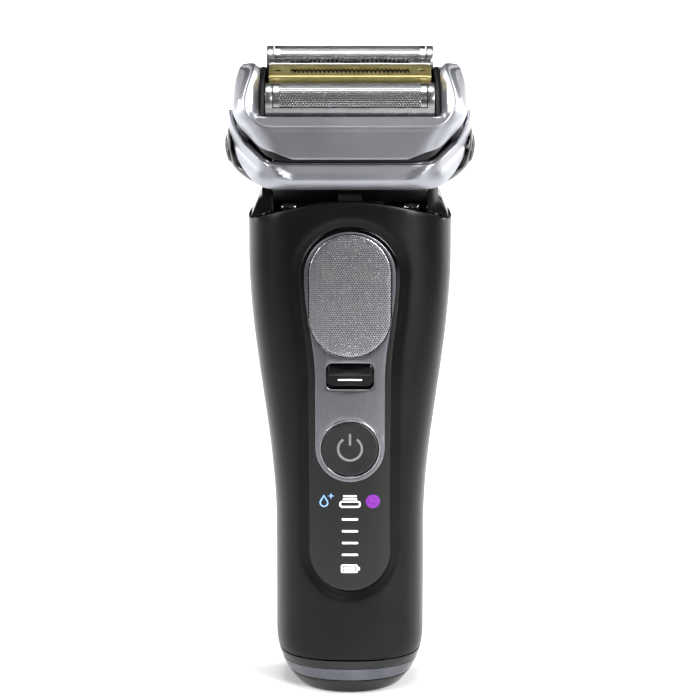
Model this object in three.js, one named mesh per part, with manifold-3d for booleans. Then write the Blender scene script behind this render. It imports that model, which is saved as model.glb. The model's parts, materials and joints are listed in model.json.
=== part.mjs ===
// A cordless foil shaver, modelled in millimetres.
// +Z runs up the handle, -Y is the front (thumb) side and +X is the right-hand side seen from the front.
// The origin is the middle of the flat foot, so the shaver stands on z = 0.
// The head is tilted forward and is built in a group of its own, whose origin is the swivel axis.
import * as THREE from "three";
import { mergeVertices } from "three/addons/utils/BufferGeometryUtils.js";
import Module from "manifold-3d";

const wasm = await Module();
wasm.setup();

// ---------------------------------------------------------------- driving dimensions, handle
const handleTop = 132.5; // front of the housing's upper rim
const rimDrop = 6.5; // how far the rim falls from the middle to the sides
const footHalfWidth = 13.7;
const footHalfDepth = 13;
const footRise = 16; // height over which the foot rounds out to the full section
const footCurve = 2.4;
const waistHalfWidth = 19.3;
const shoulderHalfWidth = 25.9;
const flareStart = 44; // the waist starts to widen here
const flareEnd = 116; // and reaches the shoulder width here
const lowerDepth = 16.2; // half depth, front and back, below the flare
const upperFront = 17;
const upperBack = 18;
const handleSquareness = 2.6; // exponent of the handle's rounded section
const wall = 1.8;
const fit = 0.3; // gap between pieces that touch
const runningGap = 0.4; // gap beside a piece that moves

// ---------------------------------------------------------------- driving dimensions, front panel
const panelFoot = 28.9; // lowest point of the front panel
const panelTopRadius = 12.9;
const panelFootRadius = 10.8;
const panelTopDrop = 19.4; // centre of the panel's upper arc, below the rim
const panelInset = 0.7; // the panel lies this far below the housing's surface
const panelThickness = 1.5;
const plateRadius = 11.6;
const plateInset = 0.6;
const plateThickness = 0.7;
const plateFootRim = 1.4; // metal left below the power button
const padRadius = 10.45;
const padStraight = 11.2;
const padSide = 0.45; // least metal beside the pad, over its own clearance
const buttonRadius = 7.5;
const buttonDrop = 64.9; // centre of the power button, below the rim
const buttonTravel = 0.6;
const lockDrop = 45.6; // centre of the lock's window, below the rim
const lockInset = 1.4; // side of the lock's window, in from the side of the power button
const lockHeight = 6.9;
const lockTravel = 3;
const displayLength = 22;
const displayDrop = 17.8; // middle of the display, below the power button

// ---------------------------------------------------------------- driving dimensions, foot
const capTop = 3.8;
const trimTop = 7.4;
const collarTop = 9.8;
const inletWidth = 9.6;
const inletDepth = 5.6;
const inletBack = 6; // centre of the power inlet, behind the origin
const inletHeight = 12;
const inletPinLength = 6.5;

// ---------------------------------------------------------------- driving dimensions, head
const headTilt = THREE.MathUtils.degToRad(22);
const pivotForward = 2.7; // swivel axis in front of the handle's middle
const pivotRise = 12.5; // swivel axis above the rim
const foilLength = 41.8;
const foilRadius = 3.9;
const foilCrest = 22.4; // top of the foils above the swivel axis
const foilSkin = 0.35;
const middleHalfDepth = 4.6; // half depth of the trimmer bar between the foils
const foilTravel = 1.5;
const cutTravel = 1.2;
const windowSide = 1.6; // from the foil's end to the cassette's window
const windowFront = 0.9; // from the foil's front to the window
const rimSide = 8; // from the window to the head's side
const rimFront = 6.1; // from the window to the head's front
const frameBottom = -3.1;
const frameLip = 2.1; // widest line of the frame
const frameTop = 4.8;
const hornTop = 9.7; // the frame's ends sweep up to this height beside the cassette
const hornHalfDepth = 9;
const coveDepth = 0.8; // depth of the cove in the frame's front
const coverBottom = -9;
const coverTop = 4.2;
const cassetteBottom = 6.1;
const cassetteInset = 1.3; // side of the cassette, in from the head's side
const cassetteSwell = 0.6;
const frontEdge = 14.3; // outer edge of the cassette's front bevel
const frontLip = 16.3; // inner edge of that bevel
const rearDrop = 2.7; // the rear edge of the cassette lies this much lower than the front one
const earTop = 22.8;
const earBevel = 2.2; // width of the bevel round the inside of the ears
const earThickness = 2.6; // arms of the yoke
const armInset = 8.3; // outer face of a yoke arm, in from the head's side
const pinRadius = 1.5;
const domeRadius = 15.2;
const releaseTravel = 1;

// ---------------------------------------------------------------- driving dimensions, long-hair trimmer
const slideHalfWidth = 9.2;
const slideLength = 56;
const slideInner = 14.4; // front face of the slide, behind the handle's middle
const combHeight = 6;

// ---------------------------------------------------------------- sizes that follow from those
const pivotHeight = handleTop + pivotRise;
const panelTopZ = handleTop - panelTopDrop;
const buttonZ = handleTop - buttonDrop;
const lockZ = handleTop - lockDrop;
const displayZ = buttonZ - displayDrop;
const panelWaistZ = lockZ - 0.6;
const plateFootRadius = buttonRadius + plateFootRim;
const lockWidth = 2 * (buttonRadius - lockInset);
const foilSpacing = middleHalfDepth + foilRadius + fit; // from the head's middle to a foil's centre
const foilCentreW = foilCrest - foilRadius;
const windowHalfWidth = foilLength / 2 + windowSide;
const windowHalfDepth = foilSpacing + foilRadius + windowFront;
const headHalfWidth = windowHalfWidth + rimSide;
const headHalfDepth = windowHalfDepth + rimFront;
const lipDepth = windowHalfDepth + 0.3;
const armOuter = headHalfWidth - armInset;
const armInner = armOuter - earThickness;
const chassisHalfWidth = armInner - runningGap;

// ---------------------------------------------------------------- materials
const finish = (color, roughness, metalness) => new THREE.MeshStandardMaterial({ color, roughness, metalness });
const satinBlack = finish(0x1c1d1f, 0.38, 0.1);
const glossBlack = finish(0x08090b, 0.08, 0);
const innerBlack = finish(0x141416, 0.6, 0);
const rubberBlack = finish(0x1a1a1b, 0.85, 0);
const satinSilver = finish(0xa9abb2, 0.3, 0.9);
const gunmetal = finish(0x55565e, 0.25, 0.9);
const padSteel = finish(0xb4b6ba, 0.35, 1);
const foilSteel = finish(0xc9cacc, 0.2, 1);
const springSteel = finish(0x9c9ea2, 0.3, 1);
const goldCoat = finish(0xcdb45f, 0.3, 1);
const boardGreen = finish(0x1d5c37, 0.6, 0);
const copper = finish(0xb46a3c, 0.35, 1);
const batteryWrap = finish(0x2d6fa8, 0.5, 0);
const lightGuideWhite = finish(0xf2f4f5, 0.4, 0);

// ---------------------------------------------------------------- solids and meshes
// A closed three.js geometry as a solid that can be joined and cut.
function solid(geometry) {
  const plain = geometry.index ? geometry.toNonIndexed() : geometry.clone();
  plain.deleteAttribute("normal");
  plain.deleteAttribute("uv");
  const merged = mergeVertices(plain, 1e-4);
  return new wasm.Manifold(
    new wasm.Mesh({
      numProp: 3,
      vertProperties: merged.attributes.position.array,
      triVerts: new Uint32Array(merged.index.array),
    }),
  );
}

function meshOf(name, shape, material) {
  const { vertProperties, triVerts } = shape.getMesh();
  const indexed = new THREE.BufferGeometry();
  indexed.setAttribute("position", new THREE.BufferAttribute(new Float32Array(vertProperties), 3));
  indexed.setIndex(new THREE.BufferAttribute(new Uint32Array(triVerts), 1));
  const geometry = indexed.toNonIndexed();
  geometry.computeVertexNormals();
  const mesh = new THREE.Mesh(geometry, material);
  mesh.name = name;
  return mesh;
}

const shaver = new THREE.Group();
const head = new THREE.Group();
head.position.set(0, -pivotForward, pivotHeight);
head.rotation.x = headTilt;
shaver.add(head);

const addToHandle = (name, shape, material) => shaver.add(meshOf(name, shape, material));
const addToHead = (name, shape, material) => head.add(meshOf(name, shape, material));
const both = (add) => [["left", -1], ["right", 1]].forEach(([side, sign]) => add(side, sign));

// A box between two corners.
function box(x0, x1, y0, y1, z0, z1) {
  const block = new THREE.BoxGeometry(x1 - x0, y1 - y0, z1 - z0);
  return solid(block.translate((x0 + x1) / 2, (y0 + y1) / 2, (z0 + z1) / 2));
}

// A round bar along an axis, from low to high, centred at the other two coordinates (in x, y, z order).
function rod(axis, radius, low, high, centre, sides = 24) {
  const bar = new THREE.CylinderGeometry(radius, radius, high - low, sides);
  const middle = (low + high) / 2;
  if (axis === "x") bar.rotateZ(Math.PI / 2).translate(middle, centre[0], centre[1]);
  if (axis === "y") bar.translate(centre[0], middle, centre[1]);
  if (axis === "z") bar.rotateX(Math.PI / 2).translate(centre[0], centre[1], middle);
  return solid(bar);
}

// An outline extruded along one axis. Its points are (y, z) for X, (x, z) for Y and (x, y) for Z.
function prism(axis, points, low, high) {
  const shape = new THREE.Shape(points.map(([u, v]) => new THREE.Vector2(u, v)));
  const bar = new THREE.ExtrudeGeometry(shape, { depth: high - low, bevelEnabled: false });
  const [x, y, z] = [0, 1, 2].map((i) => new THREE.Vector3().setComponent(i, 1));
  if (axis === "x") bar.applyMatrix4(new THREE.Matrix4().makeBasis(y, z, x)).translate(low, 0, 0);
  if (axis === "y") bar.applyMatrix4(new THREE.Matrix4().makeBasis(x, z, y.negate())).translate(0, high, 0);
  if (axis === "z") bar.translate(0, 0, low);
  return solid(bar);
}

// Points of an arc in an outline's plane, angles in degrees from its first axis.
function arc([u, v], radius, from, to, steps) {
  return Array.from({ length: steps + 1 }, (_, i) => {
    const angle = THREE.MathUtils.degToRad(from + ((to - from) * i) / steps);
    return [u + radius * Math.cos(angle), v + radius * Math.sin(angle)];
  });
}

// A rectangle with rounded corners, by its centre, half sizes and corner radius.
function roundedRectangle([u, v], halfU, halfV, radius, steps = 4) {
  const corners = [[1, -1, -90], [1, 1, 0], [-1, 1, 90], [-1, -1, 180]];
  return corners.flatMap(([su, sv, from]) =>
    arc([u + su * (halfU - radius), v + sv * (halfV - radius)], radius, from, from + 90, steps),
  );
}

// A solid through rings of equal point count, set along an axis from low to high, each anticlockwise seen from its end.
function loft(rings, axis = "z") {
  const count = rings[0].length;
  const index = [];
  for (let level = 0; level + 1 < rings.length; level++)
    for (let i = 0; i < count; i++) {
      const next = (i + 1) % count;
      const [a, b] = [level * count + i, level * count + next];
      index.push(a, b, b + count, a, b + count, a + count);
    }
  const flat = (ring) => ring.map(([x, y, z]) => (axis === "z" ? new THREE.Vector2(x, y) : new THREE.Vector2(y, z)));
  const topStart = (rings.length - 1) * count;
  THREE.ShapeUtils.triangulateShape(flat(rings[0]), []).forEach(([a, b, c]) => index.push(a, c, b));
  THREE.ShapeUtils.triangulateShape(flat(rings.at(-1)), []).forEach((face) => index.push(...face.map((i) => i + topStart)));
  const geometry = new THREE.BufferGeometry();
  geometry.setAttribute("position", new THREE.Float32BufferAttribute(rings.flat(2), 3));
  return solid(geometry.setIndex(index));
}

// A rounded ring at one height: half sizes in x, front and back, and the exponents of its curve in x and y.
function ring(z, halfWidth, front, back, squareX, squareY, count) {
  return Array.from({ length: count }, (_, i) => {
    const angle = (2 * Math.PI * (i + 0.5)) / count;
    const [c, s] = [Math.cos(angle), Math.sin(angle)];
    const depth = s < 0 ? front : back;
    return [
      halfWidth * Math.sign(c) * Math.abs(c) ** (2 / squareX),
      depth * Math.sign(s) * Math.abs(s) ** (2 / squareY),
      z,
    ];
  });
}

const mix = (a, b, t) => a + (b - a) * t;
const smooth = (x, from, to) => THREE.MathUtils.smoothstep(x, from, to);
const steps = (from, to, count) => Array.from({ length: count + 1 }, (_, i) => mix(from, to, i / count));

// ---------------------------------------------------------------- the handle's outer form
const handleSides = 40;

function handleRing(z, inset) {
  const rounding = Math.max(0, 1 - z / footRise) ** footCurve;
  const side = mix(waistHalfWidth, shoulderHalfWidth, smooth(z, flareStart, flareEnd));
  const front = mix(lowerDepth, upperFront, smooth(z, flareStart, flareEnd));
  const back = mix(lowerDepth, upperBack, smooth(z, flareStart, flareEnd));
  return ring(
    z,
    mix(side, footHalfWidth, rounding) - inset,
    mix(front, footHalfDepth, rounding) - inset,
    mix(back, footHalfDepth, rounding) - inset,
    mix(handleSquareness, 2, rounding),
    mix(handleSquareness, 2, rounding),
    handleSides,
  );
}

// The handle's form drawn in by an inset, between two heights.
function handleForm(inset, from, to) {
  const foot = [0, 1.2, 2.5, capTop, trimTop, collarTop, footRise];
  const body = steps(flareStart - 6, flareEnd, 6);
  const inside = [...foot, ...body].filter((z) => z > from + 0.05 && z < to - 0.05);
  return loft([from, ...inside, to].map((z) => handleRing(z, inset)));
}

// A straight tube with the cap's upper section, for what stands inside the foot.
const footTube = (inset, from, to) => loft([from, to].map((z) => handleRing(capTop, inset).map(([x, y]) => [x, y, z])));

const formTop = handleTop + 2;
const footFloor = 0;
const rimHeight = (x) => handleTop - rimDrop * (x / shoulderHalfWidth) ** 2;

// Everything below the arched rim, lowered by a drop.
function belowRim(drop) {
  const reach = shoulderHalfWidth + 3;
  const arch = steps(reach, -reach, 12).map((x) => [x, rimHeight(x) - drop]);
  return prism("y", [[-reach, -5], [reach, -5], ...arch], -40, 40);
}

const frontHalf = box(-60, 60, -60, -fit / 2, -10, 300);
const backHalf = box(-60, 60, fit / 2, 60, -10, 300);

const padLow = panelTopZ + 0.5 - padStraight;
const besidePad = (z) => {
  const below = Math.max(0, padLow - z);
  return below < padRadius ? Math.sqrt(padRadius ** 2 - below ** 2) + padSide : 0;
};

// A keyhole outline on the front: a large arc at the top, a waist, and a small arc at the foot.
function keyhole(topRadius, footRadius, footZ, grow) {
  const [upper, lower] = [topRadius + grow, footRadius + grow];
  const flank = (t) => {
    const z = mix(panelTopZ - 3, Math.max(panelWaistZ, footZ + 4), t);
    return [Math.max(mix(upper, lower, smooth(t, 0, 1)), besidePad(z) + grow), z];
  };
  const right = steps(1, 0, 10).map(flank);
  const left = right.map(([x, z]) => [-x, z]).reverse();
  return [
    ...right,
    ...arc([0, panelTopZ], upper, 0, 180, 16),
    ...left,
    ...arc([0, footZ], lower, 180, 360, 12),
  ];
}

const panelOutline = (grow) => keyhole(panelTopRadius, panelFootRadius, panelFoot + panelFootRadius, grow);
const plateOutline = (grow) => keyhole(plateRadius, plateFootRadius, buttonZ, grow);
const stadium = (grow) => [
  ...arc([0, panelTopZ + 0.5], padRadius + grow, 0, 180, 12),
  ...arc([0, padLow], padRadius + grow, 180, 360, 12),
];
const onFront = (outline) => prism("y", outline, -40, -6);
const onBack = (outline) => prism("y", outline, 6, 40);

// A sheet that follows the handle's surface, between two depths below it.
const skin = (outer, inner) => handleForm(outer, footFloor, formTop).subtract(handleForm(inner, -1, formTop + 1));

// ---------------------------------------------------------------- housing shells
const shell = skin(0, wall).intersect(box(-60, 60, -60, 60, collarTop + fit, 300)).intersect(belowRim(0));
const trimmerSlot = box(-slideHalfWidth - fit, slideHalfWidth + fit, 6, 40, handleTop - slideLength - 8, 300);
const gripFoot = 22;
const gripTop = handleTop - slideLength - 12;
const gripHalfWidth = 12.5;
const gripOutline = (grow) =>
  roundedRectangle([0, (gripFoot + gripTop) / 2], gripHalfWidth + grow, (gripTop - gripFoot) / 2 + grow, 6 + grow);
const gripDepth = 0.9;
const contactSize = 3.2;
const contactZ = 16.5;
const contactSpacing = 5.5;
const contactOutline = (sign, grow) =>
  roundedRectangle([sign * contactSpacing, contactZ], contactSize / 2 + grow, contactSize / 2 + grow, 0.8);

const panelStep = onFront(panelOutline(1.4)).subtract(handleForm(0.5, -1, formTop + 1));
addToHandle(
  "front_housing",
  shell.intersect(frontHalf).subtract(onFront(panelOutline(0))).subtract(panelStep),
  satinBlack,
);

const gripRecess = onBack(gripOutline(fit)).subtract(handleForm(gripDepth, -1, formTop + 1));
let rearHousing = shell.intersect(backHalf).subtract(trimmerSlot).subtract(gripRecess);
both((side, sign) => {
  rearHousing = rearHousing.subtract(onBack(contactOutline(sign, fit)));
});
addToHandle("rear_housing", rearHousing, satinBlack);
addToHandle(
  "rear_grip",
  onBack(gripOutline(0)).intersect(skin(-0.5, gripDepth - fit)),
  rubberBlack,
);
both((side, sign) => {
  addToHandle(
    `charge_contact_${side}`,
    onBack(contactOutline(sign, 0)).intersect(skin(0.1, wall - fit)),
    foilSteel,
  );
});

// ---------------------------------------------------------------- front panel: lens, metal plate, pad, lock and button
const lockWindow = (grow) =>
  roundedRectangle([0, lockZ], lockWidth / 2 + grow, lockHeight / 2 + grow, 1.6);
const buttonHole = (grow) => rod("y", buttonRadius + grow, -40, -6, [0, buttonZ], 32);
const lockFloor = panelInset + panelThickness + 0.1;
const lensDepth = panelInset + panelThickness + 0.9;
const frontAt = (z) => -mix(lowerDepth, upperFront, smooth(z, flareStart, flareEnd));

const panelLens = onFront(panelOutline(-fit))
  .intersect(skin(panelInset, lensDepth))
  .subtract(onFront(plateOutline(fit)).subtract(handleForm(plateInset + plateThickness + fit, -1, formTop + 1)))
  .subtract(buttonHole(fit))
  .subtract(onFront(lockWindow(0)).subtract(handleForm(lockFloor, -1, formTop + 1)))
  .subtract(prism("y", roundedRectangle([0, lockZ], 2.4, lockHeight / 2 - 0.2, 0.6), -40, -6));
addToHandle("panel_lens", panelLens, glossBlack);
addToHandle(
  "faceplate",
  onFront(plateOutline(0))
    .intersect(skin(plateInset, plateInset + plateThickness))
    .subtract(onFront(stadium(fit)))
    .subtract(onFront(lockWindow(0)))
    .subtract(buttonHole(fit)),
  satinSilver,
);
addToHandle("thumb_pad", onFront(stadium(0)).intersect(skin(0.45, plateInset + plateThickness)), padSteel);

const buttonFace = frontAt(buttonZ) + plateInset - 0.1;
addToHandle(
  "power_button",
  rod("y", buttonRadius - 0.1, buttonFace, buttonFace + 2.6, [0, buttonZ], 32).add(
    rod("y", 2, buttonFace + 2.5, buttonFace + 3.2, [0, buttonZ], 16),
  ),
  innerBlack,
);
const knobHeight = 3.2;
const knobTop = lockZ + lockHeight / 2 - 0.3;
const knobFace = frontAt(lockZ) + 0.7;
const lockFloorY = frontAt(lockZ) + lockFloor;
const lockStripY = frontAt(lockZ) + lensDepth + runningGap;
addToHandle(
  "lock_slider",
  prism("y", roundedRectangle([0, knobTop - knobHeight / 2], lockWidth / 2 - 0.4, knobHeight / 2, 0.9), knobFace, lockFloorY - 0.25)
    .add(box(-1.8, 1.8, lockFloorY - 0.4, lockStripY + 0.1, knobTop - 2.6, knobTop - 0.4)),
  glossBlack,
);

// ---------------------------------------------------------------- yoke that carries the head
const yokeFoot = handleTop - 16;
const yokeDeck = 5.5; // deck of the yoke, below the rim
const armDepth = 5; // half depth of an arm about the swivel axis
const armShoulder = handleTop - 6.5;
const yokeBody = handleForm(wall + fit, yokeFoot, formTop)
  .subtract(handleForm(wall + fit + 2, yokeFoot - 1, handleTop - yokeDeck - 2))
  .intersect(belowRim(yokeDeck))
  .subtract(box(-slideHalfWidth - 1.2, slideHalfWidth + 1.2, slideInner - 0.6, 60, 0, 300))
  .subtract(prism("y", panelOutline(fit), -60, frontAt(yokeFoot) + lensDepth + 1.2 + fit));
const brakeSlot = box(-4, 4, -60, -9.2, 0, 300);

function yokeArm(sign) {
  const side = prism(
    "y",
    [
      [sign * armInner, armShoulder - 6],
      [sign * (shoulderHalfWidth - wall - fit), armShoulder - 6],
      [sign * (shoulderHalfWidth - wall - fit), armShoulder - 1],
      [sign * (shoulderHalfWidth - 1), armShoulder + 1.2],
      [sign * (armOuter + 1), handleTop - 1.5],
      [sign * armOuter, handleTop - 0.3],
      [sign * armOuter, pivotHeight + 20],
      [sign * armInner, pivotHeight + 20],
    ],
    -40,
    40,
  );
  const tongue = prism(
    "x",
    [
      [-pivotForward - armDepth - 3.5, armShoulder - 7],
      [-pivotForward + armDepth + 3.5, armShoulder - 7],
      ...arc([-pivotForward, pivotHeight], armDepth, 0, 180, 12),
    ],
    -60,
    60,
  );
  const arm = side.intersect(tongue);
  const inside = arm.intersect(handleForm(wall + fit, yokeFoot, formTop));
  const above = arm.subtract(belowRim(-fit));
  return inside.add(above).subtract(rod("x", pinRadius + 0.2, -60, 60, [-pivotForward, pivotHeight], 20));
}

let yoke = yokeBody;
both((side, sign) => {
  yoke = yoke.add(yokeArm(sign));
});
const screwInset = 3.8; // axis of a screw, in from the inner face of its arm
const screwX = armInner - screwInset;
const screwY = 6;
both((side, sign) => {
  yoke = yoke.subtract(rod("z", 1.3, 0, 300, [sign * screwX, screwY], 12));
});
yoke = yoke.subtract(brakeSlot);
const screwHeadZ = rimHeight(screwX - 2) - yokeDeck;
addToHandle("head_yoke", yoke, innerBlack);
both((side, sign) => {
  const shank = rod("z", 1, screwHeadZ - 8, screwHeadZ + 0.5, [sign * screwX, screwY], 12);
  const dome = rod("z", 2, screwHeadZ + 0.3, screwHeadZ + 1.5, [sign * screwX, screwY], 16);
  const slot = box(-60, 60, screwY - 0.3, screwY + 0.3, screwHeadZ + 1, 300);
  addToHandle(`yoke_screw_${side}`, shank.add(dome).subtract(slot), springSteel);
});

// ---------------------------------------------------------------- foot: cap, trim, collar, seal and power inlet
const neckInset = 4.2;
const inletWall = 1.1;
const inletOuter = (grow) =>
  roundedRectangle([0, inletBack], inletWidth / 2 + inletWall + grow, inletDepth / 2 + inletWall + grow, 1.6);
const footNeck = footTube(neckInset, capTop - 0.5, collarTop + 4.5).subtract(
  footTube(neckInset + 1.8, capTop + 0.2, collarTop + 6),
);
addToHandle(
  "base_cap",
  handleForm(0, 0, capTop).add(footNeck).subtract(prism("z", inletOuter(fit), -5, 40)),
  glossBlack,
);
const footRing = (from, to) => handleForm(0, from, to).subtract(footTube(neckInset - fit, from - 1, to + 1));
addToHandle("base_trim_ring", footRing(capTop + fit / 2, trimTop), gunmetal);
addToHandle("base_collar", footRing(trimTop + fit / 2, collarTop), glossBlack);
const inletTop = inletHeight + 1.6;
addToHandle(
  "inlet_socket",
  prism("z", inletOuter(0), 0.4, inletTop)
    .subtract(prism("z", roundedRectangle([0, inletBack], inletWidth / 2, inletDepth / 2, 1.2), -5, inletHeight))
    .subtract(rod("z", 1.1, 0, 40, [-inletWidth / 4, inletBack], 12))
    .subtract(rod("z", 1.1, 0, 40, [inletWidth / 4, inletBack], 12)),
  innerBlack,
);
both((side, sign) => {
  const centre = [(sign * inletWidth) / 4, inletBack];
  addToHandle(`inlet_pin_${side}`, rod("z", 0.8, inletHeight - inletPinLength, inletTop + 2, centre, 12), springSteel);
});

// ---------------------------------------------------------------- inside the handle: chassis, battery, board and light guide
const boardY = -9.6;
const boardThickness = 1.2;
const boardFoot = panelFoot + 1;
const boardTop = handleTop - 28;
addToHandle(
  "circuit_board",
  box(-8.6, 8.6, boardY, boardY + boardThickness, boardFoot, boardTop),
  boardGreen,
);
const guideFront = frontAt(displayZ) + lensDepth + 3 * fit;
addToHandle(
  "light_guide",
  box(-6.5, 6.5, guideFront, boardY - fit, displayZ - displayLength / 2 - 3, displayZ + displayLength / 2 - 2),
  lightGuideWhite,
);
const switchFront = buttonFace + 3.2 + buttonTravel + fit;
addToHandle("tact_switch", box(-3, 3, switchFront, boardY - 0.2, buttonZ - 3, buttonZ + 3), innerBlack);

const batteryRadius = 7;
const batteryY = 1.2;
const batteryFoot = collarTop + 12;
const batteryLength = 50;
addToHandle(
  "battery_cell",
  rod("z", batteryRadius, batteryFoot, batteryFoot + batteryLength, [0, batteryY], 24).add(
    rod("z", 2.6, batteryFoot + batteryLength - 0.5, batteryFoot + batteryLength + 0.9, [0, batteryY], 12),
  ),
  batteryWrap,
);
const tabZ = batteryFoot + batteryLength + 1.2;
addToHandle("battery_tab_top", box(-2.5, 2.5, boardY + boardThickness + 0.2, batteryY + 2.5, tabZ, tabZ + 0.5), springSteel);
addToHandle(
  "battery_tab_bottom",
  box(-2.5, 2.5, boardY + boardThickness + 0.2, batteryY + 2.5, batteryFoot - 0.8, batteryFoot - 0.3),
  springSteel,
);
const chassisSide = batteryRadius + 0.6;
const chassisFloor = collarTop + 9;
const chassisTop = handleTop - 20;
addToHandle(
  "inner_chassis",
  box(-chassisSide - 1.6, chassisSide + 1.6, boardY + boardThickness + fit, batteryY + batteryRadius + 2.2, chassisFloor, chassisTop)
    .subtract(box(-chassisSide, chassisSide, -40, batteryY + batteryRadius + 0.6, chassisFloor + 1.6, chassisTop - 1.6))
    .subtract(box(-3, 3, -40, batteryY + 3, 0, 300)),
  innerBlack,
);

// The lock's strip runs up behind the panel and ends in a brake shoe under the head's dome.
const shoeGap = 0.35;
const shoeTop = pivotHeight - Math.sqrt(domeRadius ** 2 - (lockStripY + pivotForward) ** 2);
const brakeShoe = box(-3, 3, lockStripY, lockStripY + 3.4, handleTop - 9, pivotHeight).subtract(
  rod("x", domeRadius + shoeGap, -60, 60, [-pivotForward, pivotHeight], 48),
);
addToHandle(
  "lock_pawl",
  box(-3, 3, lockStripY, lockStripY + 0.9, knobTop - 3, Math.min(handleTop - 8.5, shoeTop)).add(brakeShoe).subtract(
    box(-2.1, 2.1, lockStripY - 1, lockStripY + 0.3, knobTop - 2.9, knobTop - 0.1),
  ),
  springSteel,
);

// ---------------------------------------------------------------- long-hair trimmer on the back
const slideFoot = handleTop - slideLength - 4;
const slideTop = slideFoot + slideLength - combHeight - 0.3;
const backAt = (z) => mix(lowerDepth, upperBack, smooth(z, flareStart, flareEnd));
let trimmerSlide = box(-slideHalfWidth, slideHalfWidth, slideInner, 40, slideFoot, slideTop).intersect(
  handleForm(0.4, 0, formTop),
);
const ridgeCount = 4;
for (let i = 0; i < ridgeCount; i++) {
  const z = slideFoot + 5 + i * 3;
  const ridge = prism("x", arc([backAt(z) - 0.9, z], 1.3, -90, 90, 6), -5.5, 5.5);
  trimmerSlide = trimmerSlide.add(ridge);
}
addToHandle("trimmer_slide", trimmerSlide, satinBlack);

// A comb edge along +Z: a plate whose upper edge is cut into teeth.
function toothedPlate(halfWidth, y0, y1, z0, z1, toothCount, toothDepth) {
  const pitch = (2 * halfWidth) / toothCount;
  const edge = [[-halfWidth, z0], [halfWidth, z0]];
  for (let i = 0; i < toothCount; i++) {
    const x = halfWidth - i * pitch;
    edge.push([x, z1 - toothDepth], [x - pitch * 0.25, z1], [x - pitch * 0.55, z1], [x - pitch * 0.8, z1 - toothDepth]);
  }
  edge.push([-halfWidth, z1 - toothDepth]);
  return prism("y", edge, y0, y1);
}

const combFoot = slideTop + 0.3;
addToHandle(
  "trimmer_comb",
  toothedPlate(slideHalfWidth - 0.2, slideInner + 1.5, slideInner + 2.1, combFoot, combFoot + combHeight, 14, 1.8).add(
    box(-slideHalfWidth + 0.2, slideHalfWidth - 0.2, slideInner + 1.5, slideInner + 2.6, combFoot, combFoot + 1.8),
  ),
  foilSteel,
);
addToHandle(
  "trimmer_blade",
  toothedPlate(slideHalfWidth - 1.4, slideInner + 0.5, slideInner + 1.2, combFoot, combFoot + combHeight - 0.5, 12, 1.6),
  foilSteel,
);

// ================================================================ the head, about the swivel axis
// In this group +Z points out of the foils and -Y is the front.
// A ring at height w: a polygon with a flat front and back, a short flat on each side, and rounded corners between.
function headRing(w, halfWidth, sideFlat, halfDepth, frontFlat, radius = 5) {
  const quarter = [[halfWidth, sideFlat], [frontFlat, halfDepth]];
  const flip = (sx, sy) => quarter.map(([x, y]) => [sx * x, sy * y]);
  const corners = [...flip(1, 1), ...flip(-1, 1).reverse(), ...flip(-1, -1), ...flip(1, -1).reverse()];
  return corners.flatMap((corner, i) => {
    const toward = ([x, y]) => {
      const length = Math.hypot(x - corner[0], y - corner[1]);
      const reach = Math.min(radius, length * 0.48) / length;
      return [mix(corner[0], x, reach), mix(corner[1], y, reach)];
    };
    const [from, to] = [toward(corners.at(i - 1)), toward(corners[(i + 1) % corners.length])];
    return steps(0, 1, 4).map((t) => [
      mix(mix(from[0], corner[0], t), mix(corner[0], to[0], t), t),
      mix(mix(from[1], corner[1], t), mix(corner[1], to[1], t), t),
      w,
    ]);
  });
}

// The head's outer form, from the frame's foot to its top, drawn in by an inset.
const frameLevels = [frameBottom, frameBottom + 1.6, frameBottom + 3.6, frameLip, frameTop];
function frameRing(w, inset) {
  const low = THREE.MathUtils.clamp((frameLip - w) / (frameLip - frameBottom), 0, 1);
  const high = Math.max(0, (w - frameLip) / (frameTop - frameLip));
  return headRing(
    w,
    headHalfWidth - 2.8 * low ** 2 - inset,
    mix(2, 6.5, low) - inset * 0.4,
    headHalfDepth - 2.3 * low ** 2 - 0.7 * high - inset,
    mix(20.3, 22.6, low) - inset * 0.6,
  );
}
const atLevels = (levels, ringAt) => loft(levels.map(([w, from]) => ringAt(from).map(([x, y]) => [x, y, w])));
const frameInside = (inset, low, high) =>
  atLevels([[low, frameBottom], ...frameLevels.slice(0, 4).map((w) => [w, w]), [high, frameTop]], (w) =>
    frameRing(w, inset));
const frameWall = 1.7;
const domeFoot = -3; // the covers are wide below this height and end in a dome above it
const domeHalfWidth = 6;
const sideOutline = (sign, grow, from) => {
  const dome = steps(12, 168, 14).map((degrees) => {
    const angle = THREE.MathUtils.degToRad(degrees);
    return [(domeHalfWidth + grow) * Math.cos(angle), domeFoot + (coverTop - domeFoot + grow) * Math.sin(angle)];
  });
  const outline = [
    ...arc([5, coverBottom + 4], 4 + grow, 270, 360, 4),
    [9 + grow, domeFoot - 1],
    [8.4 + grow, domeFoot - 0.4 + grow],
    [domeHalfWidth + grow, domeFoot - 0.3 + grow],
    ...dome,
    [-domeHalfWidth - grow, domeFoot - 0.3 + grow],
    [-8.4 - grow, domeFoot - 0.4 + grow],
    [-9 - grow, domeFoot - 1],
    ...arc([-5, coverBottom + 4], 4 + grow, 180, 270, 4),
  ];
  return prism("x", outline, ...(sign > 0 ? [from, 60] : [-60, -from]));
};
const coveHalfWidth = 16;
const coveFloor = -headHalfDepth + coveDepth;
const cove = prism(
  "x",
  [[-40, frameLip - 0.7], [coveFloor - 0.7, frameLip - 0.6], [coveFloor, frameLip + 0.2], [coveFloor + 0.2, 20], [-40, 20]],
  -coveHalfWidth,
  coveHalfWidth,
);
let headFrame = loft(frameLevels.map((w) => frameRing(w, 0)))
  .subtract(frameInside(frameWall, frameBottom - 1, frameTop + 1))
  .subtract(cove);
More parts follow.
